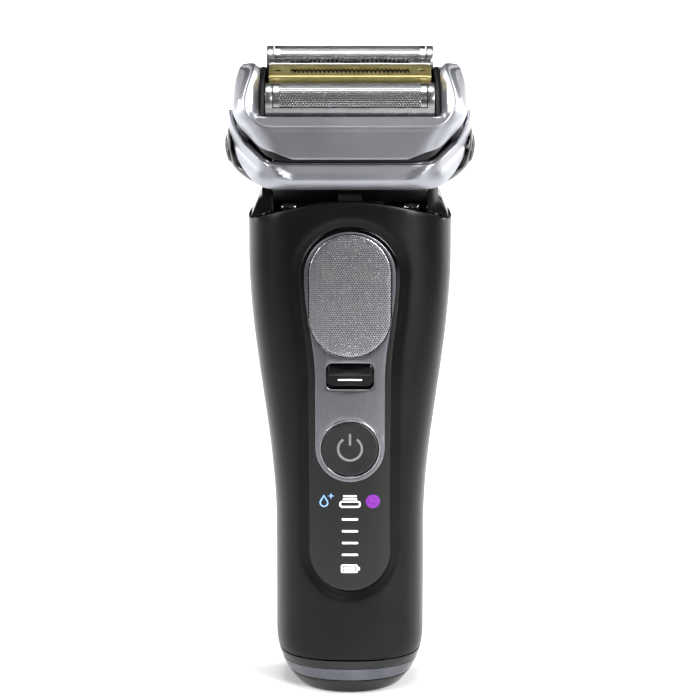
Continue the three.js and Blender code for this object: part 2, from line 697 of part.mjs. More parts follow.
both((side, sign) => {
  headFrame = headFrame.subtract(sideOutline(sign, fit, armInner - runningGap));
});
// The ends of the frame sweep up beside the cassette.
const hornEdge = steps(hornHalfDepth, -hornHalfDepth, 16).map((y) => [
  y,
  frameTop + (hornTop - frameTop) * (1 - Math.abs(y) / hornHalfDepth) ** 1.6,
]);
const hornFoot = frameTop - 0.5;
const hornForm = loft([hornFoot, cassetteBottom, 8, hornTop].map((w) => frameRing(w, 0)));
const besideCassette = atLevels([[hornFoot - 1, 0], [cassetteBottom, 0], [8.6, 8.6], [hornTop, hornTop], [hornTop + 1, hornTop]], (w) =>
  cassetteRing(w, -fit - 0.05));
const horns = hornForm
  .intersect(prism("x", [[-hornHalfDepth, hornFoot - 0.1], [hornHalfDepth, hornFoot - 0.1], ...hornEdge], -60, 60))
  .subtract(besideCassette);
headFrame = headFrame.add(horns);
addToHead("head_frame", headFrame, satinSilver);

// Gloss side covers fill the openings in the frame and hang below it, over the arms.
function coverRing(w, inset) {
  const t = THREE.MathUtils.clamp((coverTop - w) / (coverTop - coverBottom), 0, 1);
  const halfDepth = 15 - 3 * t - inset;
  const crown = 0.9 * Math.max(0, (w + 1) / (coverTop + 1)) ** 2;
  return ring(w, headHalfWidth + 1 - 6 * t ** 5 - crown - inset, halfDepth, halfDepth, 3, 2, 44);
}
const coverLevels = [coverBottom, -7.6, -5.5, -2, 1, coverTop];
const coverForm = (inset, beyond) =>
  atLevels([[coverBottom - beyond, coverBottom], ...coverLevels.slice(1, -1).map((w) => [w, w]), [coverTop + beyond, coverTop]],
    (w) => coverRing(w, inset));
const coverWall = 1.2;
const releaseDepth = 3;
const releaseOutline = (grow) => roundedRectangle([0, -1.6], 4.3 + grow, 3 + grow, 2.8);
both((side, sign) => {
  const release = (grow) => prism("x", releaseOutline(grow), ...(sign > 0 ? [24, 60] : [-60, -24]));
  addToHead(
    `side_cover_${side}`,
    coverForm(0, 0).subtract(coverForm(coverWall, 1)).intersect(sideOutline(sign, 0, armOuter + fit)).subtract(release(fit)),
    glossBlack,
  );
  addToHead(
    `release_button_${side}`,
    coverForm(-0.3, 0).subtract(coverForm(releaseDepth, 1)).intersect(release(0)),
    rubberBlack,
  );
});

// Chassis of the head: a dome about the swivel axis, hollow above for the motor.
const motorHalfWidth = 15;
const motorHalfDepth = 8.6;
const motorFloor = -9.6;
const motorTop = 2.2;
const chassisDeck = 3.8;
let headChassis = rod("x", domeRadius, -chassisHalfWidth, chassisHalfWidth, [0, 0], 40)
  .intersect(frameInside(frameWall + 2 * fit, -domeRadius - 1, chassisDeck))
  .subtract(box(-motorHalfWidth - fit, motorHalfWidth + fit, -motorHalfDepth - fit, motorHalfDepth + fit, motorFloor - fit, 60));
both((side, sign) => {
  headChassis = headChassis.subtract(
    rod("x", pinRadius + fit / 2, sign > 0 ? motorHalfWidth + 1.4 : -60, sign > 0 ? 60 : -motorHalfWidth - 1.4, [0, 0], 20),
  );
});
addToHead("head_chassis", headChassis, innerBlack);
both((side, sign) => {
  const reach = [motorHalfWidth + 1.6, armOuter - 0.2];
  const span = sign > 0 ? reach : [-reach[1], -reach[0]];
  addToHead(`pivot_pin_${side}`, rod("x", pinRadius, ...span, [0, 0], 20), springSteel);
});

// Linear motor: a stator with a coil, and two bridges that swing against each other.
const coilHalfWidth = 6;
addToHead(
  "motor_stator",
  box(-motorHalfWidth, motorHalfWidth, -motorHalfDepth, motorHalfDepth, motorFloor, motorFloor + 4)
    .add(box(-3, 3, -5, 5, motorFloor + 3.5, motorTop - 3.4)),
  springSteel,
);
addToHead(
  "motor_coil",
  box(-coilHalfWidth, coilHalfWidth, -7.4, 7.4, motorFloor + 4.3, motorTop - 3.8).subtract(
    box(-3 - fit, 3 + fit, -5 - fit, 5 + fit, -60, 60),
  ),
  copper,
);
const pinTop = foilCentreW - 3.2;
const bridgeFoot = motorTop - 3;
[["front", -1], ["rear", 1]].forEach(([place, sign]) => {
  const near = sign > 0 ? [0.4, motorHalfDepth - 0.3] : [-motorHalfDepth + 0.3, -0.4];
  const plate = box(-motorHalfWidth + 2, motorHalfWidth - 2, ...near, bridgeFoot, motorTop);
  const pin = rod("z", 1, motorTop - 0.5, pinTop, [0, sign * (motorHalfDepth - 1.6)], 16);
  addToHead(`drive_bridge_${place}`, plate.add(pin), springSteel);
});
const sealSlot = (sign) =>
  prism("z", roundedRectangle([0, sign * (motorHalfDepth - 1.6)], 1 + cutTravel + 0.5, 1.5, 1), -60, 60);
addToHead(
  "drive_seal",
  prism("z", roundedRectangle([0, 0], chassisHalfWidth - 0.2, 14, 3), chassisDeck + fit, cassetteBottom - fit)
    .subtract(sealSlot(1))
    .subtract(sealSlot(-1)),
  rubberBlack,
);

// ---------------------------------------------------------------- cassette frame: a saddle with high sides
function cassetteRing(w, inset) {
  const t = THREE.MathUtils.clamp((w - cassetteBottom) / (earTop - cassetteBottom), 0, 1);
  const front = THREE.MathUtils.clamp((w - cassetteBottom) / (frontEdge - cassetteBottom), 0, 1);
  // Above the ends of the head frame the cassette swells out to stand flush with them.
  const overHorn = cassetteSwell * THREE.MathUtils.smoothstep(w, hornTop, hornTop + 1.7);
  return headRing(
    w,
    headHalfWidth - cassetteInset + overHorn - 4.9 * t ** 2.6 - inset,
    mix(1.5, 9, front) - inset * 0.4,
    mix(headHalfDepth - 0.6, lipDepth + 1.9, front) - inset,
    mix(20, 23.6, front) - inset * 0.6,
    mix(5, 4, front),
  );
}
const towardRear = ([y, w]) => [y, w - rearDrop * Math.min(1, y / lipDepth)];
const saddleRing = (x, drop) => {
  const edge = [
    [lipDepth + 1.9, frontEdge],
    [lipDepth, frontLip],
    [lipDepth - 1, frontLip + 0.9 - 0.6 * drop],
    [lipDepth - 4.2, earTop - 4.1 - drop],
    [lipDepth - 8.7, earTop - 1.6 - drop],
    [lipDepth - 11.7, earTop - 0.3 - drop],
    [0, earTop - drop],
  ];
  const front = edge.slice(0, -1).map(([y, w]) => [-y, w]);
  const rear = edge.map(towardRear).reverse();
  const outline = [[-40, 60], [-40, frontEdge], ...front, ...rear, [40, frontEdge - rearDrop], [40, 60]];
  return outline.map(([y, w]) => [x, y, w]);
};
const bevelOuter = windowHalfWidth + earBevel;
const saddle = loft(
  [saddleRing(-60, 0), saddleRing(-bevelOuter, 0), saddleRing(-windowHalfWidth, 1.7),
    saddleRing(windowHalfWidth, 1.7), saddleRing(bevelOuter, 0), saddleRing(60, 0)],
  "x",
);
const cassetteLevels = [cassetteBottom, 8.6, hornTop, hornTop + 1.7, frontEdge, 16.8, 19, 21.2, earTop];
const cassetteFloor = 12;
const windowPrism = (grow) =>
  prism("z", roundedRectangle([0, 0], windowHalfWidth + grow, windowHalfDepth + grow, 0.5 + grow, 2), -60, 60);
addToHead(
  "cassette_frame",
  loft(cassetteLevels.map((w) => cassetteRing(w, 0)))
    .subtract(saddle)
    .subtract(windowPrism(0))
    .subtract(
      atLevels([[cassetteBottom - 1, cassetteBottom], [9, 9], [cassetteFloor, cassetteFloor]], (w) =>
        cassetteRing(w, 1.6)).subtract(windowPrism(1)),
    ),
  satinSilver,
);

// Carrier: the black tray in the window, with end plates and three wells.
const carrierHalfWidth = windowHalfWidth - fit;
const carrierHalfDepth = windowHalfDepth - fit;
const trayTop = 11.2;
const unitHalfWidth = foilLength / 2;
const endPlate = (sign) => {
  const range = [unitHalfWidth + fit, carrierHalfWidth];
  const edge = [[carrierHalfDepth, frontLip - 0.4], [lipDepth - 4.6, earTop - 4.8], [lipDepth - 9.4, earTop - 2.4]];
  const front = edge.map(([y, w]) => [-y, w]).reverse();
  const foot = cassetteBottom + fit;
  return prism(
    "x",
    [[-carrierHalfDepth, foot], [carrierHalfDepth, foot], ...edge.map(towardRear), ...front],
    ...(sign > 0 ? range : [-range[1], -range[0]]),
  );
};
let carrier = box(-carrierHalfWidth, carrierHalfWidth, -carrierHalfDepth, carrierHalfDepth, cassetteBottom + 0.3, trayTop);
[-1, 0, 1].forEach((place) => {
  const half = place ? foilRadius - 0.6 : middleHalfDepth - 0.8;
  const y = place * foilSpacing;
  carrier = carrier.subtract(box(-unitHalfWidth + 1, unitHalfWidth - 1, y - half, y + half, cassetteBottom + 1.2, 60));
});
const pinY = motorHalfDepth - 1.6;
[-1, 1].forEach((sign) => {
  carrier = carrier.subtract(box(-1 - cutTravel - 0.6, 1 + cutTravel + 0.6, sign * pinY - 1.8, sign * pinY + 1.8, 0, 60));
});
addToHead("cassette_carrier", carrier.add(endPlate(1)).add(endPlate(-1)), innerBlack);

// ---------------------------------------------------------------- foil units: holder, foil, cutter and springs
const holderFoot = trayTop + foilTravel + 0.4;
const holderTop = foilCentreW - fit;
const capLength = 1.7;
const cutterRadius = foilRadius - foilSkin - 0.35;
const cutterHalfWidth = unitHalfWidth - capLength - cutTravel - 0.5;
const springRadius = 1.5;
const wireRadius = 0.25;
const springX = 14;

// A compression spring standing along +Z between two heights.
function spring(x, y, foot, top) {
  const turns = 3.5;
  class Helix extends THREE.Curve {
    getPoint(t) {
      const angle = 2 * Math.PI * turns * t;
      return new THREE.Vector3(
        x + (springRadius - wireRadius) * Math.cos(angle),
        y + (springRadius - wireRadius) * Math.sin(angle),
        mix(foot + wireRadius, top - wireRadius, t),
      );
    }
  }
  const section = new THREE.Shape(arc([0, 0], wireRadius, 0, 270, 3).map(([u, v]) => new THREE.Vector2(u, v)));
  return solid(new THREE.ExtrudeGeometry(section, { steps: turns * 8, extrudePath: new Helix(), bevelEnabled: false }));
}

[["front", -1], ["rear", 1]].forEach(([place, sign]) => {
  const y = sign * foilSpacing;
  const cap = (side) =>
    rod("x", foilRadius, ...(side > 0 ? [unitHalfWidth - capLength, unitHalfWidth] : [-unitHalfWidth, -unitHalfWidth + capLength]), [y, foilCentreW], 24)
      .intersect(box(-60, 60, -60, 60, holderFoot, 60));
  const holder = box(-unitHalfWidth, unitHalfWidth, y - foilRadius, y + foilRadius, holderFoot, holderTop)
    .subtract(box(-unitHalfWidth + capLength, unitHalfWidth - capLength, y - foilRadius + 0.7, y + foilRadius - 0.7, holderFoot + 0.8, 60))
    .subtract(box(-2.9, 2.9, y - foilRadius + 0.9, y + foilRadius - 0.9, 0, 60))
    .add(cap(1))
    .add(cap(-1));
  addToHead(`${place}_foil_holder`, holder, satinSilver);

  const half = unitHalfWidth - capLength - 0.2;
  const sheet = prism(
    "x",
    [...arc([y, foilCentreW], foilRadius, 0, 180, 20), ...arc([y, foilCentreW], foilRadius - foilSkin, 180, 0, 20)],
    -half,
    half,
  );
  addToHead(`${place}_foil`, sheet, foilSteel);

  const cutterFoot = holderFoot + 1.1;
  let cutter = rod("x", cutterRadius, -cutterHalfWidth, cutterHalfWidth, [y, foilCentreW], 18)
    .intersect(box(-60, 60, -60, 60, foilCentreW - 0.1, 60))
    .add(box(-cutterHalfWidth, cutterHalfWidth, y - 2.6, y + 2.6, cutterFoot, foilCentreW + 1));
  const slots = 12;
  for (let i = 0; i < slots; i++) {
    const x = mix(-cutterHalfWidth, cutterHalfWidth, (i + 0.5) / slots);
    cutter = cutter.subtract(box(x - 0.55, x + 0.55, -60, 60, foilCentreW + 0.6, 60));
  }
  const notch = box(-1.25, 1.25, sign * pinY - 1.35, sign * pinY + 1.35, 0, pinTop + foilTravel + 0.4);
  addToHead(`${place}_cutter`, cutter.subtract(notch), foilSteel);

  both((side, end) => {
    addToHead(
      `${place}_spring_${side}`,
      spring(end * springX, y, cassetteBottom + 1.5, holderFoot - 0.3),
      springSteel,
    );
  });
});

// ---------------------------------------------------------------- middle unit: two combs and their blades on one holder
const barHalfWidth = unitHalfWidth - 0.4;
const barTop = 18.2;
const combTop = foilCrest - 0.3;
const combThickness = 0.5;
const combHalfWidth = unitHalfWidth - 0.7;
const slotHalfWidth = 14.6;
const combGap = 0.3;
const liftFront = -middleHalfDepth + 0.1;
const liftBack = 1.3;
addToHead(
  "middle_holder",
  box(-barHalfWidth, barHalfWidth, -middleHalfDepth + 0.2, middleHalfDepth - 0.2, holderFoot, barTop)
    .subtract(box(-barHalfWidth + 2, barHalfWidth - 2, -2.2, 2.2, 0, barTop - 1.6)),
  innerBlack,
);

// An upturned channel along X with a slotted top.
function combChannel(y0, y1, top, slotWidth, slotCount) {
  let channel = box(-combHalfWidth, combHalfWidth, y0, y1, barTop + fit, top).subtract(
    box(-combHalfWidth + 1, combHalfWidth - 1, y0 + 0.45, y1 - 0.45, 0, top - combThickness),
  );
  for (let i = 0; i < slotCount; i++) {
    const x = mix(-slotHalfWidth, slotHalfWidth, (i + 0.5) / slotCount);
    channel = channel.subtract(box(x - slotWidth / 2, x + slotWidth / 2, y0 + 0.9, y1 - 0.9, top - 1, 60));
  }
  return channel;
}
addToHead("lift_trimmer_comb", combChannel(liftFront, liftBack, combTop + 0.1, 0.7, 16), goldCoat);
addToHead("cut_trimmer_comb", combChannel(liftBack + combGap, middleHalfDepth - 0.1, combTop, 0.6, 18), foilSteel);
const bladeTop = combTop - combThickness - 0.25;
const bladeHalfWidth = combHalfWidth - 1 - cutTravel - 0.3;
const bladeBar = (y0, y1) => box(-bladeHalfWidth, bladeHalfWidth, y0 + 0.65, y1 - 0.65, barTop + 0.5, bladeTop);
addToHead("lift_trimmer_blade", bladeBar(liftFront, liftBack), springSteel);
addToHead("cut_trimmer_blade", bladeBar(liftBack + combGap, middleHalfDepth - 0.1), springSteel);

export default shaver;
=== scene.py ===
import json
from math import asin, copysign, cos, hypot, pi, radians, sin

import bmesh
import bpy
import numpy as np
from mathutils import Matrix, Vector
from mathutils.geometry import delaunay_2d_cdt


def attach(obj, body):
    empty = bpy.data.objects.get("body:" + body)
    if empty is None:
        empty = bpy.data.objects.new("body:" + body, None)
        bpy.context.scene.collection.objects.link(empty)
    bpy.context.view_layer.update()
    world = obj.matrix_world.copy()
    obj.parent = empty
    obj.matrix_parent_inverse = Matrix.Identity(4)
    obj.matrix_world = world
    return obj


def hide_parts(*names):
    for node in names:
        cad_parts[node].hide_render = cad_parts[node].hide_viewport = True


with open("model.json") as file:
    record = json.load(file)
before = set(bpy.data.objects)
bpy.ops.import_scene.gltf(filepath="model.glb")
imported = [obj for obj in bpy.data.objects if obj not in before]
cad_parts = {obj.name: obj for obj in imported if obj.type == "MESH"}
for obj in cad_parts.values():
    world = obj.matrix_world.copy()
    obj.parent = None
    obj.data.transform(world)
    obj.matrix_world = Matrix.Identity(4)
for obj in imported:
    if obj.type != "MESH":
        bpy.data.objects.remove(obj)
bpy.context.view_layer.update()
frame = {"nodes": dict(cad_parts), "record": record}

# ---------------------------------------------------------------- camera
# The shaver is seen square from the front and a little from above, by a long lens.
MM = 0.001
AIM = Vector((0, 0, 89.63)) * MM
DISTANCE = 0.8
LOOK_DOWN = radians(15)
camera = bpy.data.objects.new("camera", bpy.data.cameras.new("camera"))
bpy.context.scene.collection.objects.link(camera)
camera.location = AIM + DISTANCE * Vector((0, -cos(LOOK_DOWN), sin(LOOK_DOWN)))
camera.rotation_euler = (pi / 2 - LOOK_DOWN, 0, 0)
camera.data.lens = 158.85
camera.data.sensor_width = 36
bpy.context.scene.camera = camera

# ---------------------------------------------------------------- handle housing
# Two moulded ABS shells, front and rear, that meet at the sides in a fine parting line.
# The front one has a keyhole-shaped recess for the panel, with a soft rolled edge, and the rear one
# is open above for the long-hair trimmer. Spark-eroded tools leave a very fine satin grain.
WAIST = 19.3
SHOULDER = 25.9
RIM = 132.5
RIM_DROP = 6.5
HOUSING_FOOT = 10
TURN = 30  # length given to a quarter turn of the section, from the middle of the front to the side
SHELL = 1.8
SEAM = 0.06
LOWER_DEPTH = 16.2
UPPER_FRONT = 17
UPPER_BACK = 18
FLARE = (44, 116)  # heights between which the waist widens into the shoulder


def mix(a, b, t):
    return a + (b - a) * t


def smooth(x, low, high):
    t = min(1, max(0, (x - low) / (high - low)))
    return t * t * (3 - 2 * t)


def section(z, depth=0):
    rounding = max(0, 1 - z / 16) ** 2.4
    flare = smooth(z, *FLARE)
    width = mix(mix(WAIST, SHOULDER, flare), 13.7, rounding) - depth
    front = mix(mix(LOWER_DEPTH, UPPER_FRONT, flare), 13, rounding) - depth
    back = mix(mix(LOWER_DEPTH, UPPER_BACK, flare), 13, rounding) - depth
    return width, front, back, mix(2.6, 2, rounding)


def round_handle(side):
    def place(point, depth):
        turn, z = point
        width, front, back, power = section(z, depth)
        angle = turn / TURN * pi / 2
        x = width * copysign(abs(sin(angle)) ** (2 / power), angle)
        return Vector((x, side * (front if side < 0 else back) * abs(cos(angle)) ** (2 / power), z)) * MM
    return place


def turned(x, z):
    width, _, _, power = section(z)
    return copysign(asin(min(1, abs(x) / width) ** (power / 2)) * 2 / pi * TURN, x)


def rim_height(x):
    return RIM - RIM_DROP * (x / SHOULDER) ** 2


def drawn_in(points, distance):
    flat = np.array(points, float)
    ahead, behind = np.roll(flat, -1, 0), np.roll(flat, 1, 0)
    area = np.sum(flat[:, 0] * ahead[:, 1] - ahead[:, 0] * flat[:, 1])
    tangent = ahead - behind
    normal = np.stack([-tangent[:, 1], tangent[:, 0]], 1) * np.sign(area)
    normal /= np.linalg.norm(normal, axis=1)[:, None] + 1e-12
    return [tuple(p) for p in flat + normal * distance]


def rolled(points, face, back, radius, inward=1, steps=3):
    loops = [(points, back)]
    for i in range(steps + 1):
        angle = pi / 2 * i / steps
        loops.append((drawn_in(points, inward * radius * (1 - cos(angle))), face + radius * (1 - sin(angle))))
    return loops


def within(points, outline):
    (x, y), edge = points.T[:, :, None], np.array(outline, float)
    (x0, y0), (x1, y1) = edge.T[:, None, :], np.roll(edge, -1, 0).T[:, None, :]
    slope = (x1 - x0) / np.where(y1 == y0, 1e-12, y1 - y0)
    crossed = ((y0 > y) != (y1 > y)) & (x < x0 + slope * (y - y0))
    return crossed.sum(1) % 2 == 1


def fill(mesh, loops, verts, depth, place, spacing):
    outer = np.array(loops[0], float)
    low, high = outer.min(0), outer.max(0)
    rows = np.arange(low[1] + spacing / 2, high[1], spacing)
    grid = np.array([(x + (k % 2) * spacing / 2, y) for k, y in enumerate(rows)
                     for x in np.arange(low[0] + spacing / 2, high[0], spacing)])
    edge_points = np.concatenate([np.array(p, float) for p in loops])
    if len(grid):
        keep = within(grid, loops[0])
        for hole in loops[1:]:
            keep &= ~within(grid, hole)
        grid = grid[keep]
        near = [np.min(np.hypot(*(edge_points - p).T)) < spacing * 0.5 for p in grid]
        grid = grid[~np.array(near, bool)] if len(grid) else grid
    edges, start = [], 0
    for points in loops:
        count = len(points)
        edges += [(start + i, start + (i + 1) % count) for i in range(count)]
        start += count
    flat = [Vector(p) for p in edge_points] + [Vector(p) for p in grid]
    known = [v for ring in verts for v in ring] + [mesh.verts.new(place(tuple(p), depth)) for p in grid]
    points, _, faces, origins, _, _ = delaunay_2d_cdt(flat, edges, [], 0, 1e-7)
    middles = np.array([np.mean([points[i][:] for i in f], 0) for f in faces])
    keep = within(middles, loops[0])
    for hole in loops[1:]:
        keep &= ~within(middles, hole)
    for face, kept in zip(faces, keep):
        if kept:
            corners = [known[origins[i][0]] for i in face if origins[i]]
            if len(set(corners)) == 3:
                mesh.faces.new(corners)


def sheet(rims, place, spacing=1.2):
    # A closed plate. Each rim lists its loops from back edge to face, and the outer rim comes before the holes.
    mesh = bmesh.new()
    verts = [[[mesh.verts.new(place(p, depth)) for p in points] for points, depth in rim] for rim in rims]
    for rim in verts:
        for a, b in zip(rim, rim[1:]):
            for i in range(len(a)):
                j = (i + 1) % len(a)
                mesh.faces.new((a[i], a[j], b[j], b[i]))
    for end, step in ((-1, spacing), (0, spacing * 2.5)):
        fill(mesh, [rim[end][0] for rim in rims], [rim[end] for rim in verts], rims[0][end][1], place, step)
    return mesh


body_of = {n: b for b, nodes in frame["record"]["behaviour"]["bodies"].items() for n in nodes}


def made(name, mesh, material, slot, *nodes, body=None, sharp=32):
    bmesh.ops.remove_doubles(mesh, verts=mesh.verts, dist=2e-7)
    bmesh.ops.dissolve_degenerate(mesh, edges=mesh.edges, dist=1e-8)
    bmesh.ops.recalc_face_normals(mesh, faces=mesh.faces)
    data = bpy.data.meshes.new(name)
    mesh.to_mesh(data)
    mesh.free()
    data.shade_smooth()
    data.set_sharp_from_angle(angle=radians(sharp))
    data.materials.append(material)
    piece = bpy.data.objects.new(name, data)
    bpy.context.scene.collection.objects.link(piece)
    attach(piece, body or body_of[nodes[0]])
    if nodes:
        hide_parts(*nodes)
    return piece


def linear(code):
    values = [int(code[i:i + 2], 16) / 255 for i in (1, 3, 5)]
    return (*[v / 12.92 if v <= 0.04045 else ((v + 0.055) / 1.055) ** 2.4 for v in values], 1)


def node(tree, kind, inputs=(), **settings):
    new = tree.nodes.new("ShaderNode" + kind)
    for key, value in settings.items():
        setattr(new, key, value)
    for key, value in dict(inputs).items():
        if isinstance(value, bpy.types.NodeSocket):
            tree.links.new(value, new.inputs[key])
        else:
            new.inputs[key].default_value = value
    return new


def new_material(name, **constants):
    material = bpy.data.materials.new(name)
    material.use_nodes = True
    surface = material.node_tree.nodes["Principled BSDF"]
    for key, value in constants.items():
        surface.inputs[key.replace("_", " ")].default_value = value
    return material, material.node_tree, surface


def blotched(tree, surface, colours, roughness, patch, grain, height):
    # Colour and roughness that drift over patches of one size, and a surface grain of another, both in mm.
    place = node(tree, "TexCoord").outputs["Object"]
    patches = node(tree, "TexNoise", {"Vector": place, "Scale": 1 / (patch * MM), "Detail": 3.0}).outputs["Fac"]
    grains = node(tree, "TexNoise", {"Vector": place, "Scale": 1 / (grain * MM), "Detail": 2.0}).outputs["Fac"]
    colour = node(tree, "ValToRGB", {"Fac": patches})
    colour.color_ramp.elements[0].position, colour.color_ramp.elements[1].position = 0.3, 0.7
    colour.color_ramp.elements[0].color, colour.color_ramp.elements[1].color = map(linear, colours)
    rough = node(tree, "MapRange", {"Value": patches, "From Min": 0.3, "From Max": 0.7,
                                    "To Min": roughness[0], "To Max": roughness[1]})
    bump = node(tree, "Bump", {"Height": grains, "Strength": 1.0, "Distance": height * MM})
    tree.links.new(colour.outputs["Color"], surface.inputs["Base Color"])
    tree.links.new(rough.outputs["Result"], surface.inputs["Roughness"])
    tree.links.new(bump.outputs["Normal"], surface.inputs["Normal"])
    return place, patches, grains, colour


# Moulded ABS: deep black, with a satin grain that spreads highlights into soft vertical bands.
moulded_abs, tree, surface = new_material("moulded_satin_abs", IOR=1.52, Specular_IOR_Level=0.2)
blotched(tree, surface, ("#060607", "#0c0c0d"), (0.27, 0.34), 14, 0.25, 0.0015)

# Outline of the panel's keyhole: a large arc above, a waist, and a smaller arc at the foot.
PANEL_TOP = RIM - 19.4
LOCK_Z = RIM - 45.6
PANEL_WAIST = LOCK_Z - 0.6
PANEL_FOOT = 28.9
PANEL_TOP_RADIUS = 12.9
PANEL_FOOT_RADIUS = 10.8


def arc(centre, radius, start, end, steps):
    return [(centre[0] + radius * cos(radians(mix(start, end, i / steps))),
             centre[1] + radius * sin(radians(mix(start, end, i / steps)))) for i in range(steps + 1)]


def keyhole(top, foot, foot_z, grow):
    upper, lower = top + grow, foot + grow
    right = []
    for i in range(24, -1, -1):
        t = i / 24
        right.append((mix(upper, lower, smooth(t, 0, 1)), mix(PANEL_TOP - 1, max(PANEL_WAIST, foot_z + 2), t)))
    left = [(-x, z) for x, z in reversed(right)]
    return (right + arc((0, PANEL_TOP), upper, 0, 180, 48)[1:-1] + [(-upper, PANEL_TOP)] + left
            + arc((0, foot_z), lower, 180, 360, 40))


def panel_outline(grow):
    return keyhole(PANEL_TOP_RADIUS, PANEL_FOOT_RADIUS, PANEL_FOOT + PANEL_FOOT_RADIUS, grow)


def on_turn(points):
    return [(turned(x, z), z) for x, z in points]


def spread(a, b, count):
    return [(mix(a[0], b[0], i / count), mix(a[1], b[1], i / count)) for i in range(count)]


EDGE = TURN - SEAM
rim_turns = [mix(EDGE, -EDGE, i / 60) for i in range(61)]


def at_rim(turn):
    share = sin(abs(turn) / TURN * pi / 2) ** (2 / 2.6)
    return (turn, rim_height(SHOULDER * share))


foot_edge = spread((-EDGE, HOUSING_FOOT), (EDGE, HOUSING_FOOT), 60)
side_edge = spread((EDGE, HOUSING_FOOT), at_rim(EDGE), 70)
left_edge = [(-x, z) for x, z in reversed(side_edge)]
front_outline = foot_edge + side_edge + [at_rim(t) for t in rim_turns] + left_edge[:-1]
RECESS = [(0, SHELL), (0, 0.95), (0.04, 0.72), (0.25, 0.6), (0.8, 0.53), (1.3, 0.42), (1.75, 0.24), (2.2, 0.08),
          (2.7, 0)]
recess = [(on_turn(panel_outline(grow)), depth) for grow, depth in RECESS]
made("housing_front", sheet([rolled(front_outline, 0, SHELL, 0.45), recess], round_handle(-1), 1.1),
     moulded_abs, "housing_black", "front_housing")

SLOT_HALF = 9.5
SLOT_FOOT = RIM - 64
slot_edge = [(turned(SLOT_HALF, z), z) for z in np.linspace(rim_height(SLOT_HALF), SLOT_FOOT + 0.8, 40)]
slot_floor = [(turned(x, SLOT_FOOT), SLOT_FOOT) for x in np.linspace(SLOT_HALF - 0.8, 0, 8)]
rim_right = [at_rim(t) for t in np.linspace(EDGE, turned(SLOT_HALF, RIM) + 0.4, 24)]
right_half = side_edge + rim_right + slot_edge + slot_floor
left_half = [(-x, z) for x, z in reversed(right_half[1:-1])]
made("housing_rear", sheet([rolled(foot_edge + right_half + left_half, 0, SHELL, 0.4)], round_handle(1), 1.3),
     moulded_abs, "housing_black", "rear_housing")


# ---------------------------------------------------------------- rubber grip and charge contacts on the back
# A moulded elastomer inlay with fine raised dots, and below it two nickel-plated pads that take the charge.
def rounded(centre, half_u, half_v, radius, steps=8):
    points = []
    for su, sv, start in ((1, -1, -90), (1, 1, 0), (-1, 1, 90), (-1, -1, 180)):
        corner = (centre[0] + su * (half_u - radius), centre[1] + sv * (half_v - radius))
        points += arc(corner, radius, start, start + 90, steps)
    return points


def divided(points, step):
    out = []
    for a, b in zip(points, points[1:] + points[:1]):
        out += spread(a, b, max(1, round(hypot(b[0] - a[0], b[1] - a[1]) / step)))
    return out


def on_handle(side):
    def place(point, depth):
        x, z = point
        width, front, back, power = section(z, depth)
        share = min(1, abs(x) / width) ** power
        return Vector((x, side * (front if side < 0 else back) * (1 - share) ** (1 / power), z)) * MM
    return place


# Soft-touch elastomer: matt, grey-black, with rows of moulded dots 1.2 mm apart.
elastomer, tree, surface = new_material("moulded_elastomer", IOR=1.5)
place, patches, grains, colour = blotched(tree, surface, ("#151516", "#202021"), (0.62, 0.78), 6, 0.3, 0.02)
dots = node(tree, "TexVoronoi", {"Vector": place, "Scale": 1 / (1.2 * MM), "Randomness": 0.0}, feature="F1")
dot_rise = node(tree, "MapRange", {"Value": dots.outputs["Distance"], "From Min": 0.15, "From Max": 0.5,
                                   "To Min": 1.0, "To Max": 0.0})
dot_bump = node(tree, "Bump", {"Height": dot_rise.outputs["Result"], "Distance": 0.15 * MM,
                               "Normal": surface.inputs["Normal"].links[0].from_socket})
tree.links.new(dot_bump.outputs["Normal"], surface.inputs["Normal"])
GRIP_FOOT, GRIP_TOP = 22, RIM - 68
grip = divided(rounded((0, (GRIP_FOOT + GRIP_TOP) / 2), 12.5, (GRIP_TOP - GRIP_FOOT) / 2, 6), 1.5)
made("rubber_grip", sheet([rolled(grip, -0.45, 0.6, 0.5)], on_handle(1)), elastomer, "grip_rubber", "rear_grip")

# Plated contact: bright nickel with light rub marks.
plated_nickel, tree, surface = new_material("plated_nickel", Metallic=1.0)
blotched(tree, surface, ("#b9b7b1", "#d6d4cf"), (0.14, 0.3), 1.5, 0.2, 0.001)
for side, sign in (("left", -1), ("right", 1)):
    pad = rounded((sign * 5.5, 16.5), 1.6, 1.6, 0.8)
    made(f"contact_{side}", sheet([rolled(pad, 0, 1.4, 0.25)], on_handle(1), 0.6), plated_nickel,
         "contact_steel", f"charge_contact_{side}")

# ---------------------------------------------------------------- foot
# A gloss band, a metallised ring and a gloss cap close the foot, one under the other.
# The power inlet is in the cap.
# Polycarbonate: a deep wet black, with faint smears that only show in its reflections.
gloss_black, tree, surface = new_material("polished_polycarbonate", IOR=1.585, Specular_IOR_Level=0.4)
blotched(tree, surface, ("#020203", "#040405"), (0.05, 0.1), 9, 2.5, 0.0006)


def hoop(loops):
    mesh = bmesh.new()
    verts = [[mesh.verts.new(p) for p in loop] for loop in loops]
    for a, b in zip(verts, verts[1:] + verts[:1]):
        for i in range(len(a)):
            j = (i + 1) % len(a)
            mesh.faces.new((a[i], a[j], b[j], b[i]))
    return mesh


def around(z, depth, count=144):
    width, front, back, power = section(z, depth)
    points = []
    for i in range(count):
        angle = 2 * pi * (i + 0.5) / count
        c, s = cos(angle), sin(angle)
        points.append((width * copysign(abs(c) ** (2 / power), c),
                       (front if s < 0 else back) * copysign(abs(s) ** (2 / power), s)))
    return points


